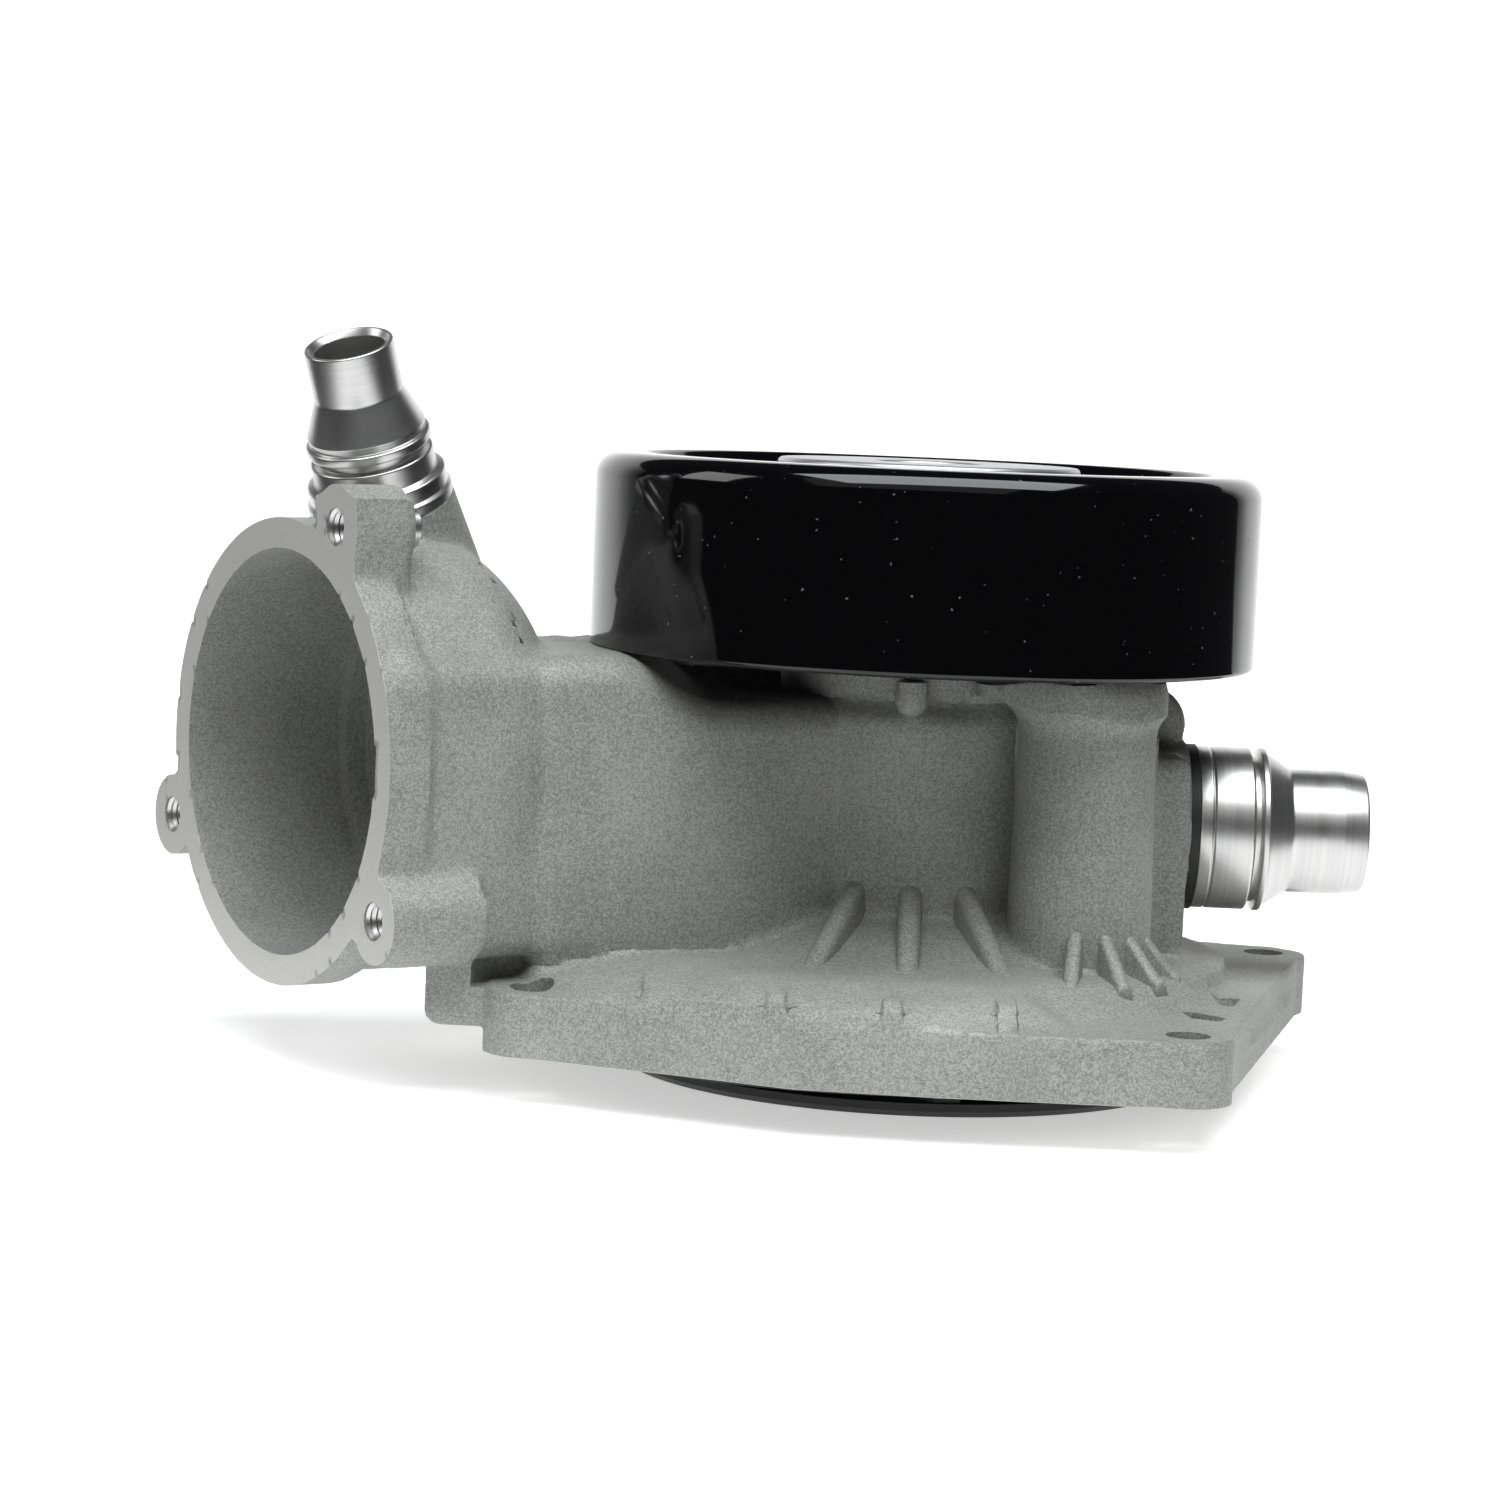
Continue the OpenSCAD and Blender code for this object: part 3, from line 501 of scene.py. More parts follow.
def neck(x, y, z):
    """Flange and barrel, both round the bore's axis, and the egg that closes them."""
    s, w, h = neck_axes(x, y, z)
    rho = np.hypot(w, h)
    flange = common(common(rho - FLANGE_R, s - FLANGE_T, 1.0), -s)
    past = s - BARREL_LENGTH
    near = np.sqrt((rho / BARREL_R) ** 2 + (past / EGG_LENGTH) ** 2)
    steep = np.sqrt((rho / BARREL_R ** 2) ** 2 + (past / EGG_LENGTH ** 2) ** 2)
    egg = near * (near - 1) / np.maximum(steep, 1e-6)
    barrel = common(rho - BARREL_R, slab(s, 0, BARREL_LENGTH))
    shape = union(flange, union(barrel, egg), 1.5)
    for angle, length, root in zip(NECK_SCREWS, (10.8, 8.0, 17.0), (2.0, 1.5, 2.0)):
        lug_w, lug_h = NECK_SCREW_R * math.cos(angle), NECK_SCREW_R * math.sin(angle)
        lug = common(common(np.hypot(w - lug_w, h - lug_h) - 6.7, s - length, 1.2), -s)
        shape = union(shape, lug, root)
    block = np.maximum(slab(w, 10.4, 23.8), slab(h, 26.0, 41.6))
    shape = union(shape, common(common(block, s - 10.8, 2.2), -s), 1.2)
    return shape


def foot(x, y, z):
    """Foot between the neck and the plate, cut back by a cylinder round the first bolt's head."""
    block = np.maximum(slab(x, -76.5, -62.5), slab(y, -46.5, -35.5))
    block = common(common(block, z - 19.0, 1.0), 3.5 - z, 3.0)
    return without(block, common(disc(x, y, BOLT_HOLES[0], BOLT_HEAD_R), PLATE_T - z), 0.5)


print("duct, neck and foot ready")

# %% [markdown]
# ## Tower and bosses
# The tower carries the bearing; it bulges out of the duct wall. Beside it a slimmer riser
# takes coolant up to the side nipple's boss.

# %% Tower and boss distances


def nipple_boss(x, y, z, base, axis, r_foot, r_top, depth):
    """Cone about an axis, from r_foot at depth below the face to r_top at the face."""
    dx, dy, dz = x - base[0], y - base[1], z - base[2]
    t = dx * axis[0] + dy * axis[1] + dz * axis[2]
    rho = np.sqrt(np.maximum(dx * dx + dy * dy + dz * dz - t * t, 0))
    lean = (r_foot - r_top) / depth
    side = (rho - r_top + lean * t) / math.hypot(1, lean)
    return common(common(side, t, 0.5), -t - depth)


def tower(x, y, z):
    """Tower, sleeve, riser with its flared head, side block, boss and lugs, all joined softly."""
    axis = np.hypot(x, y)
    shape = common(axis - TOWER_R, z - DECK_Z, 3.0)
    shape = union(shape, common(axis - SLEEVE_R, z - SLEEVE_TOP, 1.0), 1.5)
    column = disc(x, y, RISER, 11.2) + 0.02 * (z - 40)
    riser = common(column, z - 59.0, 0.8)
    head = outline(x, y, [(8, -26), (24, -36), (37, -28), (36, 8), (10, 8)], 4.0)
    riser = union(riser, common(head, slab(z, 57.0, 59.0)), 6.0)
    shape = union(shape, riser, 1.6)
    block = np.maximum(slab(x, 10, 38.5), slab(y, -18, 20))
    shape = union(shape, common(block, z - 52.5, 2.5), 2.0)
    side = np.maximum(slab(x, 20, 44.6), slab(y, -12.5, 16.5))
    shape = union(shape, common(common(side, z - 47.5, 3.0), 2 - z), 1.5)
    boss = nipple_boss(x, y, z, SIDE_BASE, SIDE_AXIS, 14.6, 14.0, 12.0)
    shape = union(shape, boss, 1.0)
    back_lug = common(np.hypot(x - 38, z - 51.5) - 6.5, slab(y, -2, 12), 2.0)
    shape = union(shape, back_lug, 1.5)
    button = np.sqrt((x + 2.1) ** 2 + (y + 25) ** 2 + np.minimum(z - 55.9, 0) ** 2) - 2.6
    return union(shape, np.maximum(button, z - 58.8), 0.4)


print("tower ready")

# %% [markdown]
# ## Hollows
# The casting is open where the real one is: the thermostat bore with its seat step, the
# duct behind it, the pump chamber, the seal and bearing bores, and all the screw holes.

# %% Casting distance


def hollows(x, y, z):
    """Everything that is cut from the casting, as one shape."""
    s, w, h = neck_axes(x, y, z)
    rho = np.hypot(w, h)
    bore = union(common(rho - NECK_BORE_R, s - SEAT_DEPTH), common(rho - SEAT_R, s - SEAT_DEPTH - 3.5))
    axis = np.hypot(x, y)
    core = np.minimum(common(axis - 20.2, 15.2 - z), common(axis - 22.5, 30.0 - z))
    high = common(outline(x, y, DUCT_HIGH) + DUCT_WALL, slab(z, DUCT_FLOOR + 4.5, DUCT_CEILING))
    low = common(outline(x, y, DUCT_LOW) + DUCT_WALL, slab(z, DUCT_FLOOR, DUCT_CEILING))
    inside = without(without(union(high, low), core), s - SEAT_DEPTH - 3)
    cut = union(bore, inside)
    cut = np.minimum(cut, common(axis - CHAMBER_R, z - CHAMBER_TOP))
    scroll = np.hypot(x - SCROLL[0][0], y - SCROLL[0][1])
    cut = np.minimum(cut, common(scroll - SCROLL_POCKET_R, z - SCROLL_POCKET_TOP))
    cut = np.minimum(cut, without(common(axis - 22, slab(z, 8, 32.0)), core))
    cut = np.minimum(cut, common(axis - 19, 43 - z))
    cut = np.minimum(cut, common(axis - 17, slab(z, 5, 32.6)))
    cut = np.minimum(cut, common(axis - 11, slab(z, 30, 45)))
    for hole in BOLT_HOLES:
        cut = np.minimum(cut, common(disc(x, y, hole, BOLT_R), z - 12))
    for angle in NECK_SCREWS:
        lug_w, lug_h = NECK_SCREW_R * math.cos(angle), NECK_SCREW_R * math.sin(angle)
        hole = np.hypot(w - lug_w, h - lug_h) - 3.0
        cut = np.minimum(cut, common(hole, s - 14))
    return cut


def casting(x, y, z):
    """The casting without its ribs: plate and scroll, duct, neck and tower joined, hollows cut."""
    shape = union(plate_and_scroll(x, y, z), duct(x, y, z), 2.0)
    shape = union(shape, neck(x, y, z), 2.5)
    shape = union(shape, nipple_boss(x, y, z, TOP_BASE, TOP_AXIS, 15.0, 11.8, 22.0), 1.2)
    shape = union(shape, tower(x, y, z), 1.5)
    shape = union(shape, foot(x, y, z), 1.0)
    shape = common(shape, -neck_axes(x, y, z)[0])
    return without(shape, hollows(x, y, z), 0.15)


print("casting at the shaft axis:", round(float(casting(np.float64(0), np.float64(0), np.float64(90))), 2))

# %% [markdown]
# ## From distance to mesh
# The distance is sampled on a grid. Where an edge of the grid crosses the surface, the
# exact point and the surface's direction there are found. Each grid cell then gets one
# point, placed where the planes at its crossings meet, so that flat faces stay flat and
# machined edges stay sharp; four neighbouring cells round a crossed edge make one face.

# %% Surface from a distance


def slopes(shape, p, reach=0.04):
    """Direction in which the distance grows fastest, from differences along each axis."""
    grown = []
    for axis in range(3):
        step = np.zeros(3)
        step[axis] = reach
        grown.append(shape(*(p + step).T) - shape(*(p - step).T))
    g = np.stack(grown, 1)
    return g / np.maximum(np.linalg.norm(g, axis=1), 1e-9)[:, None]


def crossings(shape, field, low, size, axis):
    """Grid edges along one axis that cross the surface: their cells, points and directions."""
    a = np.moveaxis(field, axis, 0)
    flips = np.moveaxis((a[:-1] < 0) != (a[1:] < 0), 0, axis)
    cells = np.argwhere(flips)
    ahead = cells.copy()
    ahead[:, axis] += 1
    start = field[tuple(cells.T)]
    end = field[tuple(ahead.T)]
    p0 = low + cells * size
    t0, t1, f0, f1 = np.zeros(len(cells)), np.ones(len(cells)), start, end
    for _ in range(4):
        t = t0 + (t1 - t0) * np.clip(f0 / (f0 - f1), 0.05, 0.95)
        p = p0.copy()
        p[:, axis] += t * size
        f = shape(*p.T)
        same = (f < 0) == (f0 < 0)
        t0, f0 = np.where(same, t, t0), np.where(same, f, f0)
        t1, f1 = np.where(same, t1, t), np.where(same, f1, f)
    return cells, p, start < 0


def surface(shape, low, high, size):
    """Points and faces of the surface where shape is zero, inside a box, on a grid of size."""
    low = np.array(low, float)
    count = np.ceil((np.array(high) - low) / size).astype(int) + 1
    x, y, z = (low[i] + size * np.arange(count[i]) for i in range(3))
    field = shape(x[:, None, None], y[None, :, None], z[None, None, :])
    field = np.broadcast_to(field, count)
    found = [crossings(shape, field, low, size, axis) for axis in range(3)]
    ids, spots, ways, quads, turned = [], [], [], [], []
    for axis, (cells, p, inside) in enumerate(found):
        way = slopes(shape, p)
        u, v = (axis + 1) % 3, (axis + 2) % 3
        corner = []
        for du, dv in ((0, 0), (-1, 0), (-1, -1), (0, -1)):
            c = cells.copy()
            c[:, u] += du
            c[:, v] += dv
            corner.append(np.ravel_multi_index(np.clip(c, 0, count - 1).T, count))
        corner = np.stack(corner, 1)
        ids.append(corner.ravel())
        spots.append(np.repeat(p, 4, 0))
        ways.append(np.repeat(way, 4, 0))
        quads.append(np.where(inside[:, None], corner, corner[:, ::-1]))
    ids, spots, ways = (np.concatenate(v) for v in (ids, spots, ways))
    used, back = np.unique(ids, return_inverse=True)
    back = back.ravel()
    tally = np.bincount(back).astype(float)
    mean = np.stack([np.bincount(back, spots[:, k]) for k in range(3)], 1) / tally[:, None]
    off = np.sum(ways * (spots - mean[back]), 1)
    pull = np.stack([np.bincount(back, ways[:, k] * off) for k in range(3)], 1)
    spread = np.zeros((len(used), 3, 3))
    for i in range(3):
        for j in range(3):
            spread[:, i, j] = np.bincount(back, ways[:, i] * ways[:, j])
    spread += np.eye(3) * 0.05
    move = np.linalg.solve(spread, pull[..., None])[..., 0]
    centre = low + (np.stack(np.unravel_index(used, count), 1) + 0.5) * size
    points = np.clip(mean + move, centre - 0.62 * size, centre + 0.62 * size)
    order = np.searchsorted(used, np.concatenate(quads))
    return points, order


CAST_GRID = 1.25
cast_low, cast_high = (np.array(v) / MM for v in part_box("housing"))
cast_points, cast_faces = surface(casting, cast_low - 1.6, cast_high + 1.6, CAST_GRID)
print("casting:", len(cast_points), "points", len(cast_faces), "faces, from",
      cast_points.min(0).round(1), "to", cast_points.max(0).round(1))

# %% [markdown]
# ## Cast and machined aluminium
# The casting was shot-blasted: a dull grey with a fine, salt-and-pepper grain and small
# pits. Three faces were milled after casting: the thermostat flange, the underside of the
# plate and the bores. A mask made from the place of the flange face and of the plate's
# underside tells these two apart; the bores are not masked.

# %% Cast aluminium


def neck_depth(shade, where):
    """Depth behind the thermostat flange face, in metres, as a Value."""
    x, y, _ = shade.axes(where)
    c, s = math.cos(NECK_TURN), math.sin(NECK_TURN)
    start = (NECK_FACE[0] * c + NECK_FACE[1] * s) * MM
    return x * c + y * s - start


def cast_aluminium():
    """Speckled dull grey, paler and smoother where it was machined."""
    shade = Shade("cast_aluminium", Metallic=0.25, Specular_IOR_Level=0.5)
    where = shade.place()
    _, _, z = shade.axes(where)
    depth = neck_depth(shade, where)
    grain = shade.noise(where, 0.28, 1.0, 0.5)
    coarse = shade.noise(where, 0.6, 2.0, 0.6)
    cloud = shade.noise(where, 22.0, 3.0, 0.55)
    speckle = grain.step(0.33, 0.67) * 0.6 + coarse.step(0.3, 0.7) * 0.4
    pits = 1 - shade.noise(where, 1.1, 1.0, 0.5).step(0.20, 0.27)
    flange = 1 - depth.step(0.00004, 0.00012)
    under = 1 - z.step(0.00004, 0.00012)
    machined = flange.maths("MAXIMUM", under)
    tone = speckle * 0.6 + cloud * 0.5
    cast = shade.mix(tone.step(0.2, 0.9), (0.2, 0.205, 0.19), (0.40, 0.405, 0.39))
    cast = shade.mix(pits * 0.5, cast, (0.15, 0.15, 0.145))
    milled = shade.mix(grain.step(0.3, 0.8) * 0.5, (0.52, 0.52, 0.49), (0.40, 0.40, 0.38))
    shade.set("Base Color", shade.mix(machined, cast, milled))
    shade.set("Roughness", 0.62 - machined * 0.2 + speckle * 0.08 - cloud * 0.05)
    rough = (1 - machined) * (grain * 0.5 + coarse * 0.6 - pits * 0.4)
    shade.bump(rough, 0.05, 0.5)
    return shade.material


CAST = cast_aluminium()
housing_cast = make_piece("housing_casting", cast_points, cast_faces.tolist(), CAST)
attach(housing_cast, "pump_housing")
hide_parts("housing")

# %% [markdown]
# ## Ribs
# Thin ribs stiffen the feet of the tower and of the riser. They are only two or three
# millimetres wide, too thin for the grid above, so each is a small mesh of its own: one
# arch-shaped section carried outwards along a falling line and rounded off at its end.

# %% Ribs


def rib(centre, angle, r_in, r_out, z_in, z_out, thick):
    """Points and faces of one rib. Its section is a half circle on two slightly spread legs;
    its crest falls straight from z_in to z_out and then turns down in a quarter circle."""
    line = np.linspace(0, 1, 12)
    nose = np.linspace(0, math.pi / 2, 6)[1:]
    along = np.concatenate([r_in + (r_out - r_in) * line, r_out + 0.5 * thick * np.sin(nose)])
    crest = np.concatenate([z_in + (z_out - z_in) * line, z_out - 0.6 * thick * (1 - np.cos(nose))])
    arch = np.linspace(0, math.pi, 11)
    foot = 7.5
    leg = thick / 2 + 0.06 * (crest - foot)
    side = np.stack([leg, *(0 * crest + thick / 2 * math.cos(a) for a in arch), -leg], 1)
    over = [crest + thick / 2 * (math.sin(a) - 1) for a in arch]
    high = np.stack([0 * crest + foot, *over, 0 * crest + foot], 1)
    out = np.broadcast_to(along[:, None], side.shape)
    c, s = math.cos(angle), math.sin(angle)
    points = np.stack([centre[0] + out * c - side * s, centre[1] + out * s + side * c, high], 2)
    rings, n = side.shape
    i, j = np.meshgrid(np.arange(rings - 1), np.arange(n), indexing="ij")
    k = (j + 1) % n
    faces = np.stack([i * n + j, (i + 1) * n + j, (i + 1) * n + k, i * n + k], 2).reshape(-1, 4)
    caps = [list(range(n)), list(range((rings - 1) * n, rings * n))[::-1]]
    return points.reshape(-1, 3), faces.tolist() + caps


rib_sizes = [((0, 0), angle, 22, 42.6, 28.0, 14.9, 3.6) for angle in TOWER_RIBS]
rib_sizes += [(RISER, angle, 9, reach, 22.8, 14.6, 2.4)
              for angle, reach in zip(RISER_RIBS, (21.4, 19.2, 17.6, 16.4))]
rib_points, rib_faces, count = [], [], 0
for size in rib_sizes:
    points, faces = rib(*size)
    rib_points.append(points)
    rib_faces += [[corner + count for corner in face] for face in faces]
    count += len(points)
housing_ribs = make_piece("housing_ribs", np.concatenate(rib_points), rib_faces, CAST)
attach(housing_ribs, "pump_housing")

# %% [markdown]
# ## Turned pieces
# Nipples, pulley and hub come off a lathe. Each is a profile of corners in radius and
# height, with its own small radius at every corner, swept once round the axis. The radii
# are what catches the light along an edge.

# %% Lathe helper


def rounded(corners, steps=5):
    """Profile through corners (radius, height, fillet): each fillet is an arc that touches
    both sides, starting fillet/tan(half angle) before the corner."""
    c = np.array(corners, float)
    path = []
    n = len(c)
    for i in range(n):
        here, before, after = c[i, :2], c[i - 1, :2], c[(i + 1) % n, :2]
        into, out = before - here, after - here
        len_in, len_out = np.linalg.norm(into), np.linalg.norm(out)
        into, out = into / len_in, out / len_out
        half = math.acos(float(np.clip(into @ out, -1, 1))) / 2
        r = c[i, 2]
        if r <= 0 or half > 1.55:
            path.append(here)
            continue
        reach = min(r / math.tan(half), 0.49 * len_in, 0.49 * len_out)
        r = reach * math.tan(half)
        centre = here + (into + out) / np.linalg.norm(into + out) * r / math.sin(half)
        start, end = here + into * reach - centre, here + out * reach - centre
        turn = math.atan2(start[0] * end[1] - start[1] * end[0], start @ end)
        t = np.linspace(0, turn, steps + 1)
        path += [centre + (start[0] * math.cos(a) - start[1] * math.sin(a),
                           start[0] * math.sin(a) + start[1] * math.cos(a)) for a in t]
    return np.array(path)


def lathe(profile, sides=96):
    """Closed profile (radius, height) swept round local +Z: points and faces facing outwards."""
    a = np.arange(sides) * 2 * math.pi / sides
    r, z = profile[:, 0], profile[:, 1]
    points = np.stack([np.outer(r, np.cos(a)), np.outer(r, np.sin(a)),
                       np.repeat(z[:, None], sides, 1)], 2).reshape(-1, 3)
    n = len(profile)
    i, j = np.meshgrid(np.arange(n), np.arange(sides), indexing="ij")
    near, far = (j, (j + 1) % sides)
    up = (i + 1) % n
    faces = np.stack([i * sides + near, i * sides + far, up * sides + far, up * sides + near], 2)
    area = np.sum(r * np.roll(z, -1) - np.roll(r, -1) * z)
    faces = faces.reshape(-1, 4)
    return points, (faces if area > 0 else faces[:, ::-1]).tolist()


def set_on(points, base, axis):
    """Turns local +Z onto an axis and moves the origin to base."""
    turn = np.array(Vector(axis).to_track_quat("Z", "Y").to_matrix())
    return points @ turn.T + np.array(base)


def turned(name, corners, base=(0, 0, 0), axis=(0, 0, 1), material=None, sides=96, steps=5):
    """A lathe piece in place."""
    points, faces = lathe(rounded(corners, steps), sides)
    return make_piece(name, set_on(points, base, axis), faces, material, math.radians(50))


def join_body(piece, body, slot, *nodes):
    """The piece rides on a body and stands for CAD nodes, which it hides. The slot is not used."""
    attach(piece, body)
    if nodes:
        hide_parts(*nodes)
    return piece


print("lathe ready")

# %% [markdown]
# ## Turned aluminium
# A lathe leaves very fine rings round the axis. They vary the gloss from ring to ring and
# tilt the surface a little, which draws reflections out into bands.

# %% Turned aluminium


def turned_aluminium(name, base, axis):
    """Bright metal with rings across an axis; their strength varies in soft bands."""
    shade = Shade(name, Metallic=1.0)
    turn = Vector(axis).to_track_quat("Z", "Y").to_euler()
    where = shade.place(base, tuple(turn))
    x, y, z = shade.axes(where)
    rho = (x * x + y * y) ** 0.5
    spread = shade.node("ShaderNodeCombineXYZ", None, rho * 0.35, 0.0, z)
    rings = shade.noise(spread, 0.35, 2.0, 0.6)
    bands = shade.noise(spread, 2.4, 2.0, 0.5)
    smear = shade.noise(where, 7.0, 2.0, 0.5)
    colour = shade.mix(rings.step(0.25, 0.75) * 0.6, (0.64, 0.635, 0.62), (0.50, 0.505, 0.51))
    shade.set("Base Color", colour)
    shade.set("Roughness", 0.22 + bands * 0.14 + smear * 0.08)
    shade.bump(rings * 0.6 + bands * 0.4, 0.008, 0.3)
    return shade.material


TOP_METAL = turned_aluminium("turned_aluminium_top", TOP_BASE, TOP_AXIS)
SIDE_METAL = turned_aluminium("turned_aluminium_side", SIDE_BASE, SIDE_AXIS)

# %% [markdown]
# ## Quick-connect nipples
# A hose connector snaps over each: a collar seats on the casting, a body leads to a narrow
# groove for the catch, a thin ring and a cone guide the connector on to the smaller tip.

# %% Nipples


def top_nipple():
    """Collar, body, catch groove, ring, cone and a rounded open tip, with its bore."""
    corners = [(5.8, -4, 0.3), (8.4, -4, 0.3), (8.4, 0.0, 0), (11.8, 0.0, 0.3), (11.8, 1.6, 0.5),
               (11.3, 2.2, 0.3), (11.3, 4.6, 0.5), (10.0, 4.9, 0.2), (10.0, 8.4, 0.4), (8.7, 8.5, 0.2),
               (8.7, 9.8, 0.2), (10.1, 10.0, 0.35), (10.1, 11.5, 0.35), (9.3, 11.7, 0.2),
               (9.6, 12.9, 0.5), (7.2, 18.9, 1.2), (7.2, 27.3, 1.5), (6.6, 27.3, 0.2), (5.8, 26.3, 0.3)]
    return turned("upper_nipple_turned", corners, TOP_BASE, TOP_AXIS, TOP_METAL)


def side_nipple():
    """The same form, larger; its tip tapers a little before its rounded end."""
    corners = [(8.0, -9, 0.3), (10.4, -9, 0.3), (10.4, 1.5, 0), (13.5, 1.5, 0.3), (13.5, 3.6, 0.3),
               (13.2, 3.9, 0.2), (13.5, 4.2, 0.3), (13.5, 10.6, 0.4), (12.1, 10.8, 0.2), (12.1, 11.8, 0.2),
               (13.6, 12.0, 0.35), (13.6, 13.1, 0.35), (12.9, 13.3, 0.3), (10.3, 17.3, 1.2),
               (10.3, 26.0, 3.0), (9.7, 30.0, 1.3), (8.9, 30.0, 0.3), (8.0, 28.8, 0.4)]
    return turned("side_nipple_turned", corners, SIDE_BASE, SIDE_AXIS, SIDE_METAL, 128)


join_body(top_nipple(), "pump_housing", "turned_aluminium", "upper_nipple")
join_body(side_nipple(), "pump_housing", "turned_aluminium", "side_nipple")

# %% [markdown]
# ## Screw threads
# The three tapped holes in the flange show their thread as fine dark rings, so each gets a
# thin sleeve whose inside zigzags once per millimetre.

# %% Threads


def thread_corners(depth=13.5, pitch=1.0):
    """A sleeve: plain outside, and inside one tooth per pitch, each a rise and a fall."""
    teeth = np.arange(0.9, depth, pitch)
    inner = [(r, t + k, 0) for t in teeth for r, k in ((2.55, 0.0), (2.95, 0.5))]
    return [(3.35, depth, 0), (3.35, 0.5, 0), (3.0, 0.45, 0)] + inner + [(2.6, depth, 0)]


NECK_AXIS = np.array([math.cos(NECK_TURN), math.sin(NECK_TURN), 0.0])
NECK_SIDE = np.array([math.sin(NECK_TURN), -math.cos(NECK_TURN), 0.0])


def screw_place(angle):
    """Centre of one thermostat screw hole on the flange face."""
    return NECK_FACE + NECK_SCREW_R * (math.cos(angle) * NECK_SIDE + math.sin(angle) * np.array([0, 0, 1]))


THREAD_METAL = turned_aluminium("cut_thread", NECK_FACE, NECK_AXIS)
for number, angle in enumerate(NECK_SCREWS, 1):
    points, faces = lathe(np.array(thread_corners())[:, :2], 32)
    thread = make_piece(f"thermostat_thread_{number}", set_on(points, screw_place(angle), NECK_AXIS),
                        faces, THREAD_METAL, math.radians(20))
    join_body(thread, "pump_housing", "turned_aluminium")

# %% [markdown]
# ## Pulley
# A deep-drawn steel cup in gloss black enamel. The belt runs on its smooth rim. What makes
# it read as enamel is a nearly mirror surface with a few specks of dust in it.

# %% Black enamel


def black_enamel():
    """Almost black, mirror-smooth, with a faint waviness and sparse dust."""
    shade = Shade("black_enamel", Metallic=0.0, IOR=1.5, Specular_IOR_Level=0.5)
    where = shade.place()
    dust = shade.noise(where, 0.9, 1.0, 0.4).step(0.765, 0.80)
    film = shade.noise(where, 16.0, 2.0, 0.5)
    shade.set("Base Color", shade.mix(dust * 0.5, (0.0012, 0.0012, 0.0015), (0.22, 0.22, 0.22)))
    shade.set("Roughness", 0.055 + film * 0.03 + dust * 0.4)
    shade.bump(shade.noise(where, 9.0, 1.0, 0.4), 0.02, 0.25)
    return shade.material


# %% Pulley and hub


def pulley_corners():
    """Cup: rim from its lower edge up and over the rounded top edge, down to the web, and back inside."""
    return [(55.0, 61.5, 0.9), (55.0, 93.3, 6.0), (47.0, 93.3, 1.6), (45.2, 90.1, 1.5), (15.0, 90.1, 0.3),
            (15.0, 86.9, 0.3), (47.4, 86.9, 1.0), (49.4, 90.1, 1.5), (51.8, 89.0, 1.6), (51.8, 61.5, 0.9)]


ENAMEL = black_enamel()
pulley = turned("pulley_cup", pulley_corners(), material=ENAMEL, sides=192, steps=8)
join_body(pulley, "rotor", "black_enamel", "pulley")


def hub_steel(name, base=(0, 0, 0), axis=(0, 0, 1)):
    """Grey turned steel: coarse rings, duller than the nipples."""
    shade = Shade(name, Metallic=0.9)
    turn = Vector(axis).to_track_quat("Z", "Y").to_euler()
    where = shade.place(base, tuple(turn))
    x, y, z = shade.axes(where)
    rho = (x * x + y * y) ** 0.5
    spread = shade.node("ShaderNodeCombineXYZ", None, rho, 0.0, z)
    rings = shade.noise(spread, 0.5, 3.0, 0.6)
    stain = shade.noise(where, 9.0, 3.0, 0.5)
    shade.set("Base Color", shade.mix(stain.step(0.3, 0.7) * 0.5, (0.52, 0.52, 0.53), (0.38, 0.38, 0.39)))
    shade.set("Roughness", 0.32 + rings * 0.15)
    shade.bump(rings, 0.03, 0.5)
    return shade.material


STEEL = hub_steel("hub_steel")
hub_profile = [(9.0, 85.2, 0.3), (15.0, 85.2, 0.5), (15.0, 90.1, 0.2), (25.0, 90.1, 0.3), (25.0, 93.4, 0.8),
               (9.0, 93.4, 0.5)]
hub = turned("pulley_hub_turned", hub_profile, material=STEEL, sides=128)
join_body(hub, "rotor", "hub_steel", "pulley_hub")

# %% [markdown]
# ## Finishes of the pieces inside and below
# The pieces that keep their CAD shape get a finish of their own: satin black plastic for
# the impeller, rubber, ground bearing steel, brass cages, carbon and ceramic seal faces.

# %% Other finishes


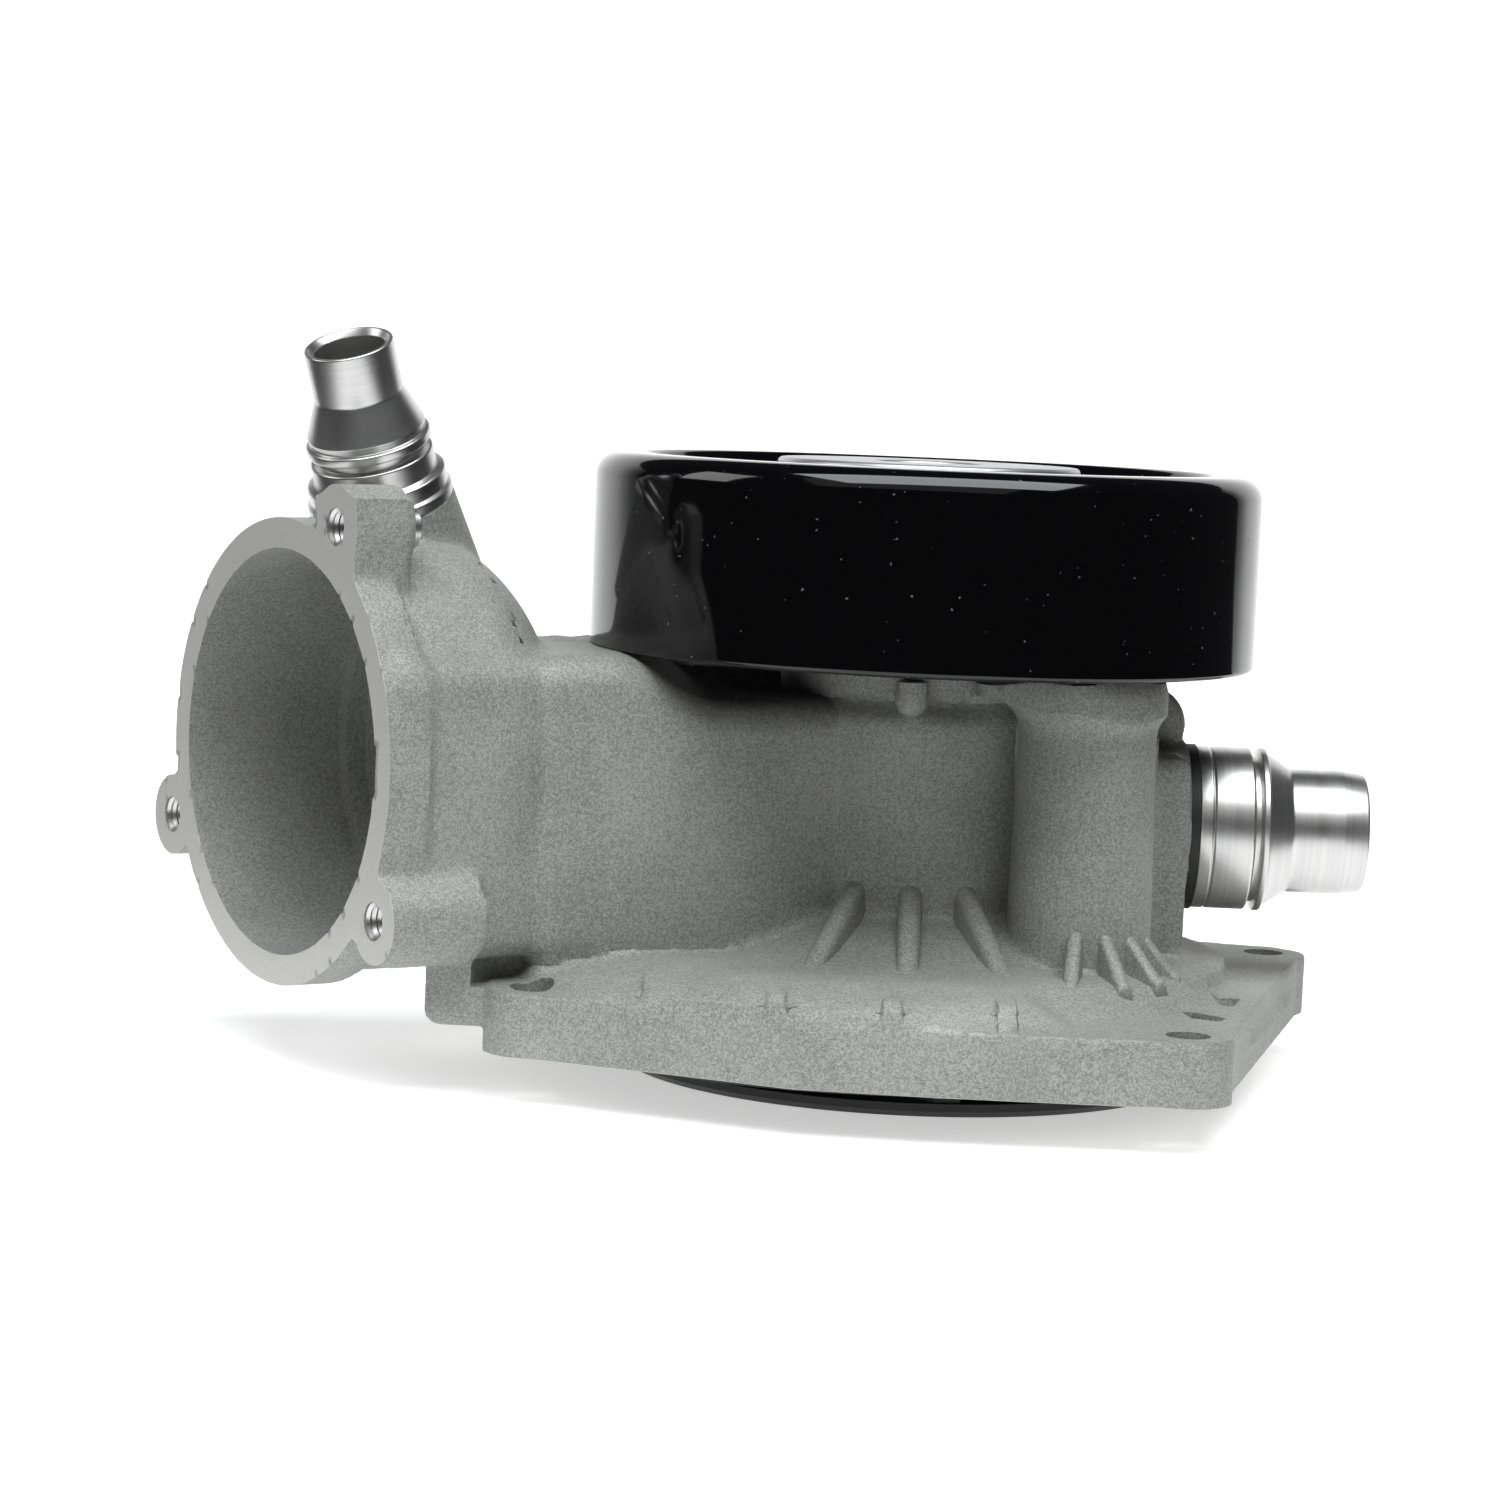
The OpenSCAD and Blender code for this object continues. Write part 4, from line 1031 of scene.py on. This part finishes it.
def moulded(name, dark, light, size_mm, rough, bump_mm):
    """Moulded plastic or rubber: two close tones in a soft grain, satin, slightly uneven."""
    shade = Shade(name, Metallic=0.0)
    where = shade.place()
    grain = shade.noise(where, size_mm, 2.0, 0.6)
    cloud = shade.noise(where, size_mm * 20, 2.0, 0.5)
    shade.set("Base Color", shade.mix(grain * 0.6 + cloud * 0.4, dark, light))
    shade.set("Roughness", rough + cloud * 0.1)
    shade.bump(grain, bump_mm, 0.5)
    return shade.material


def bright_metal(name, dark, light, rough, size_mm=0.6):
    """Ground or stamped metal: fine marks that vary tone and gloss."""
    shade = Shade(name, Metallic=1.0)
    where = shade.place()
    marks = shade.noise(where, size_mm, 3.0, 0.6)
    stain = shade.noise(where, 8.0, 2.0, 0.5)
    shade.set("Base Color", shade.mix(stain.step(0.3, 0.7), dark, light))
    shade.set("Roughness", rough + marks * 0.1)
    shade.bump(marks, 0.01, 0.3)
    return shade.material


FINISHES = {
    "black_rubber": moulded("black_rubber", (0.010, 0.010, 0.011), (0.022, 0.022, 0.023), 0.5, 0.45, 0.02),
    "impeller_plastic": moulded("impeller_plastic", (0.010, 0.010, 0.011), (0.020, 0.020, 0.021),
                                0.7, 0.38, 0.03),
    "seal_carbon": moulded("seal_carbon", (0.03, 0.03, 0.032), (0.06, 0.06, 0.062), 0.3, 0.3, 0.01),
    "seal_ceramic": moulded("seal_ceramic", (0.72, 0.70, 0.66), (0.82, 0.80, 0.76), 0.8, 0.25, 0.005),
    "bearing_steel": bright_metal("bearing_steel", (0.60, 0.61, 0.62), (0.70, 0.71, 0.72), 0.18),
    "cage_brass": bright_metal("cage_brass", (0.60, 0.46, 0.22), (0.72, 0.57, 0.30), 0.3),
    "bush_brass": bright_metal("bush_brass", (0.58, 0.44, 0.22), (0.70, 0.55, 0.29), 0.28),
    "spring_steel": bright_metal("spring_steel", (0.50, 0.50, 0.52), (0.64, 0.64, 0.66), 0.25),
    "hub_steel": STEEL,
    "turned_aluminium": TOP_METAL,
    "black_enamel": ENAMEL,
    "cast_aluminium": CAST,
}
slots = {part["node"]: part["material_slot"] for part in frame["record"]["subparts"]}
for node, piece in frame["nodes"].items():
    piece.data.materials.clear()
    piece.data.materials.append(FINISHES[slots[node]])
print("finishes on", len(slots), "CAD nodes")
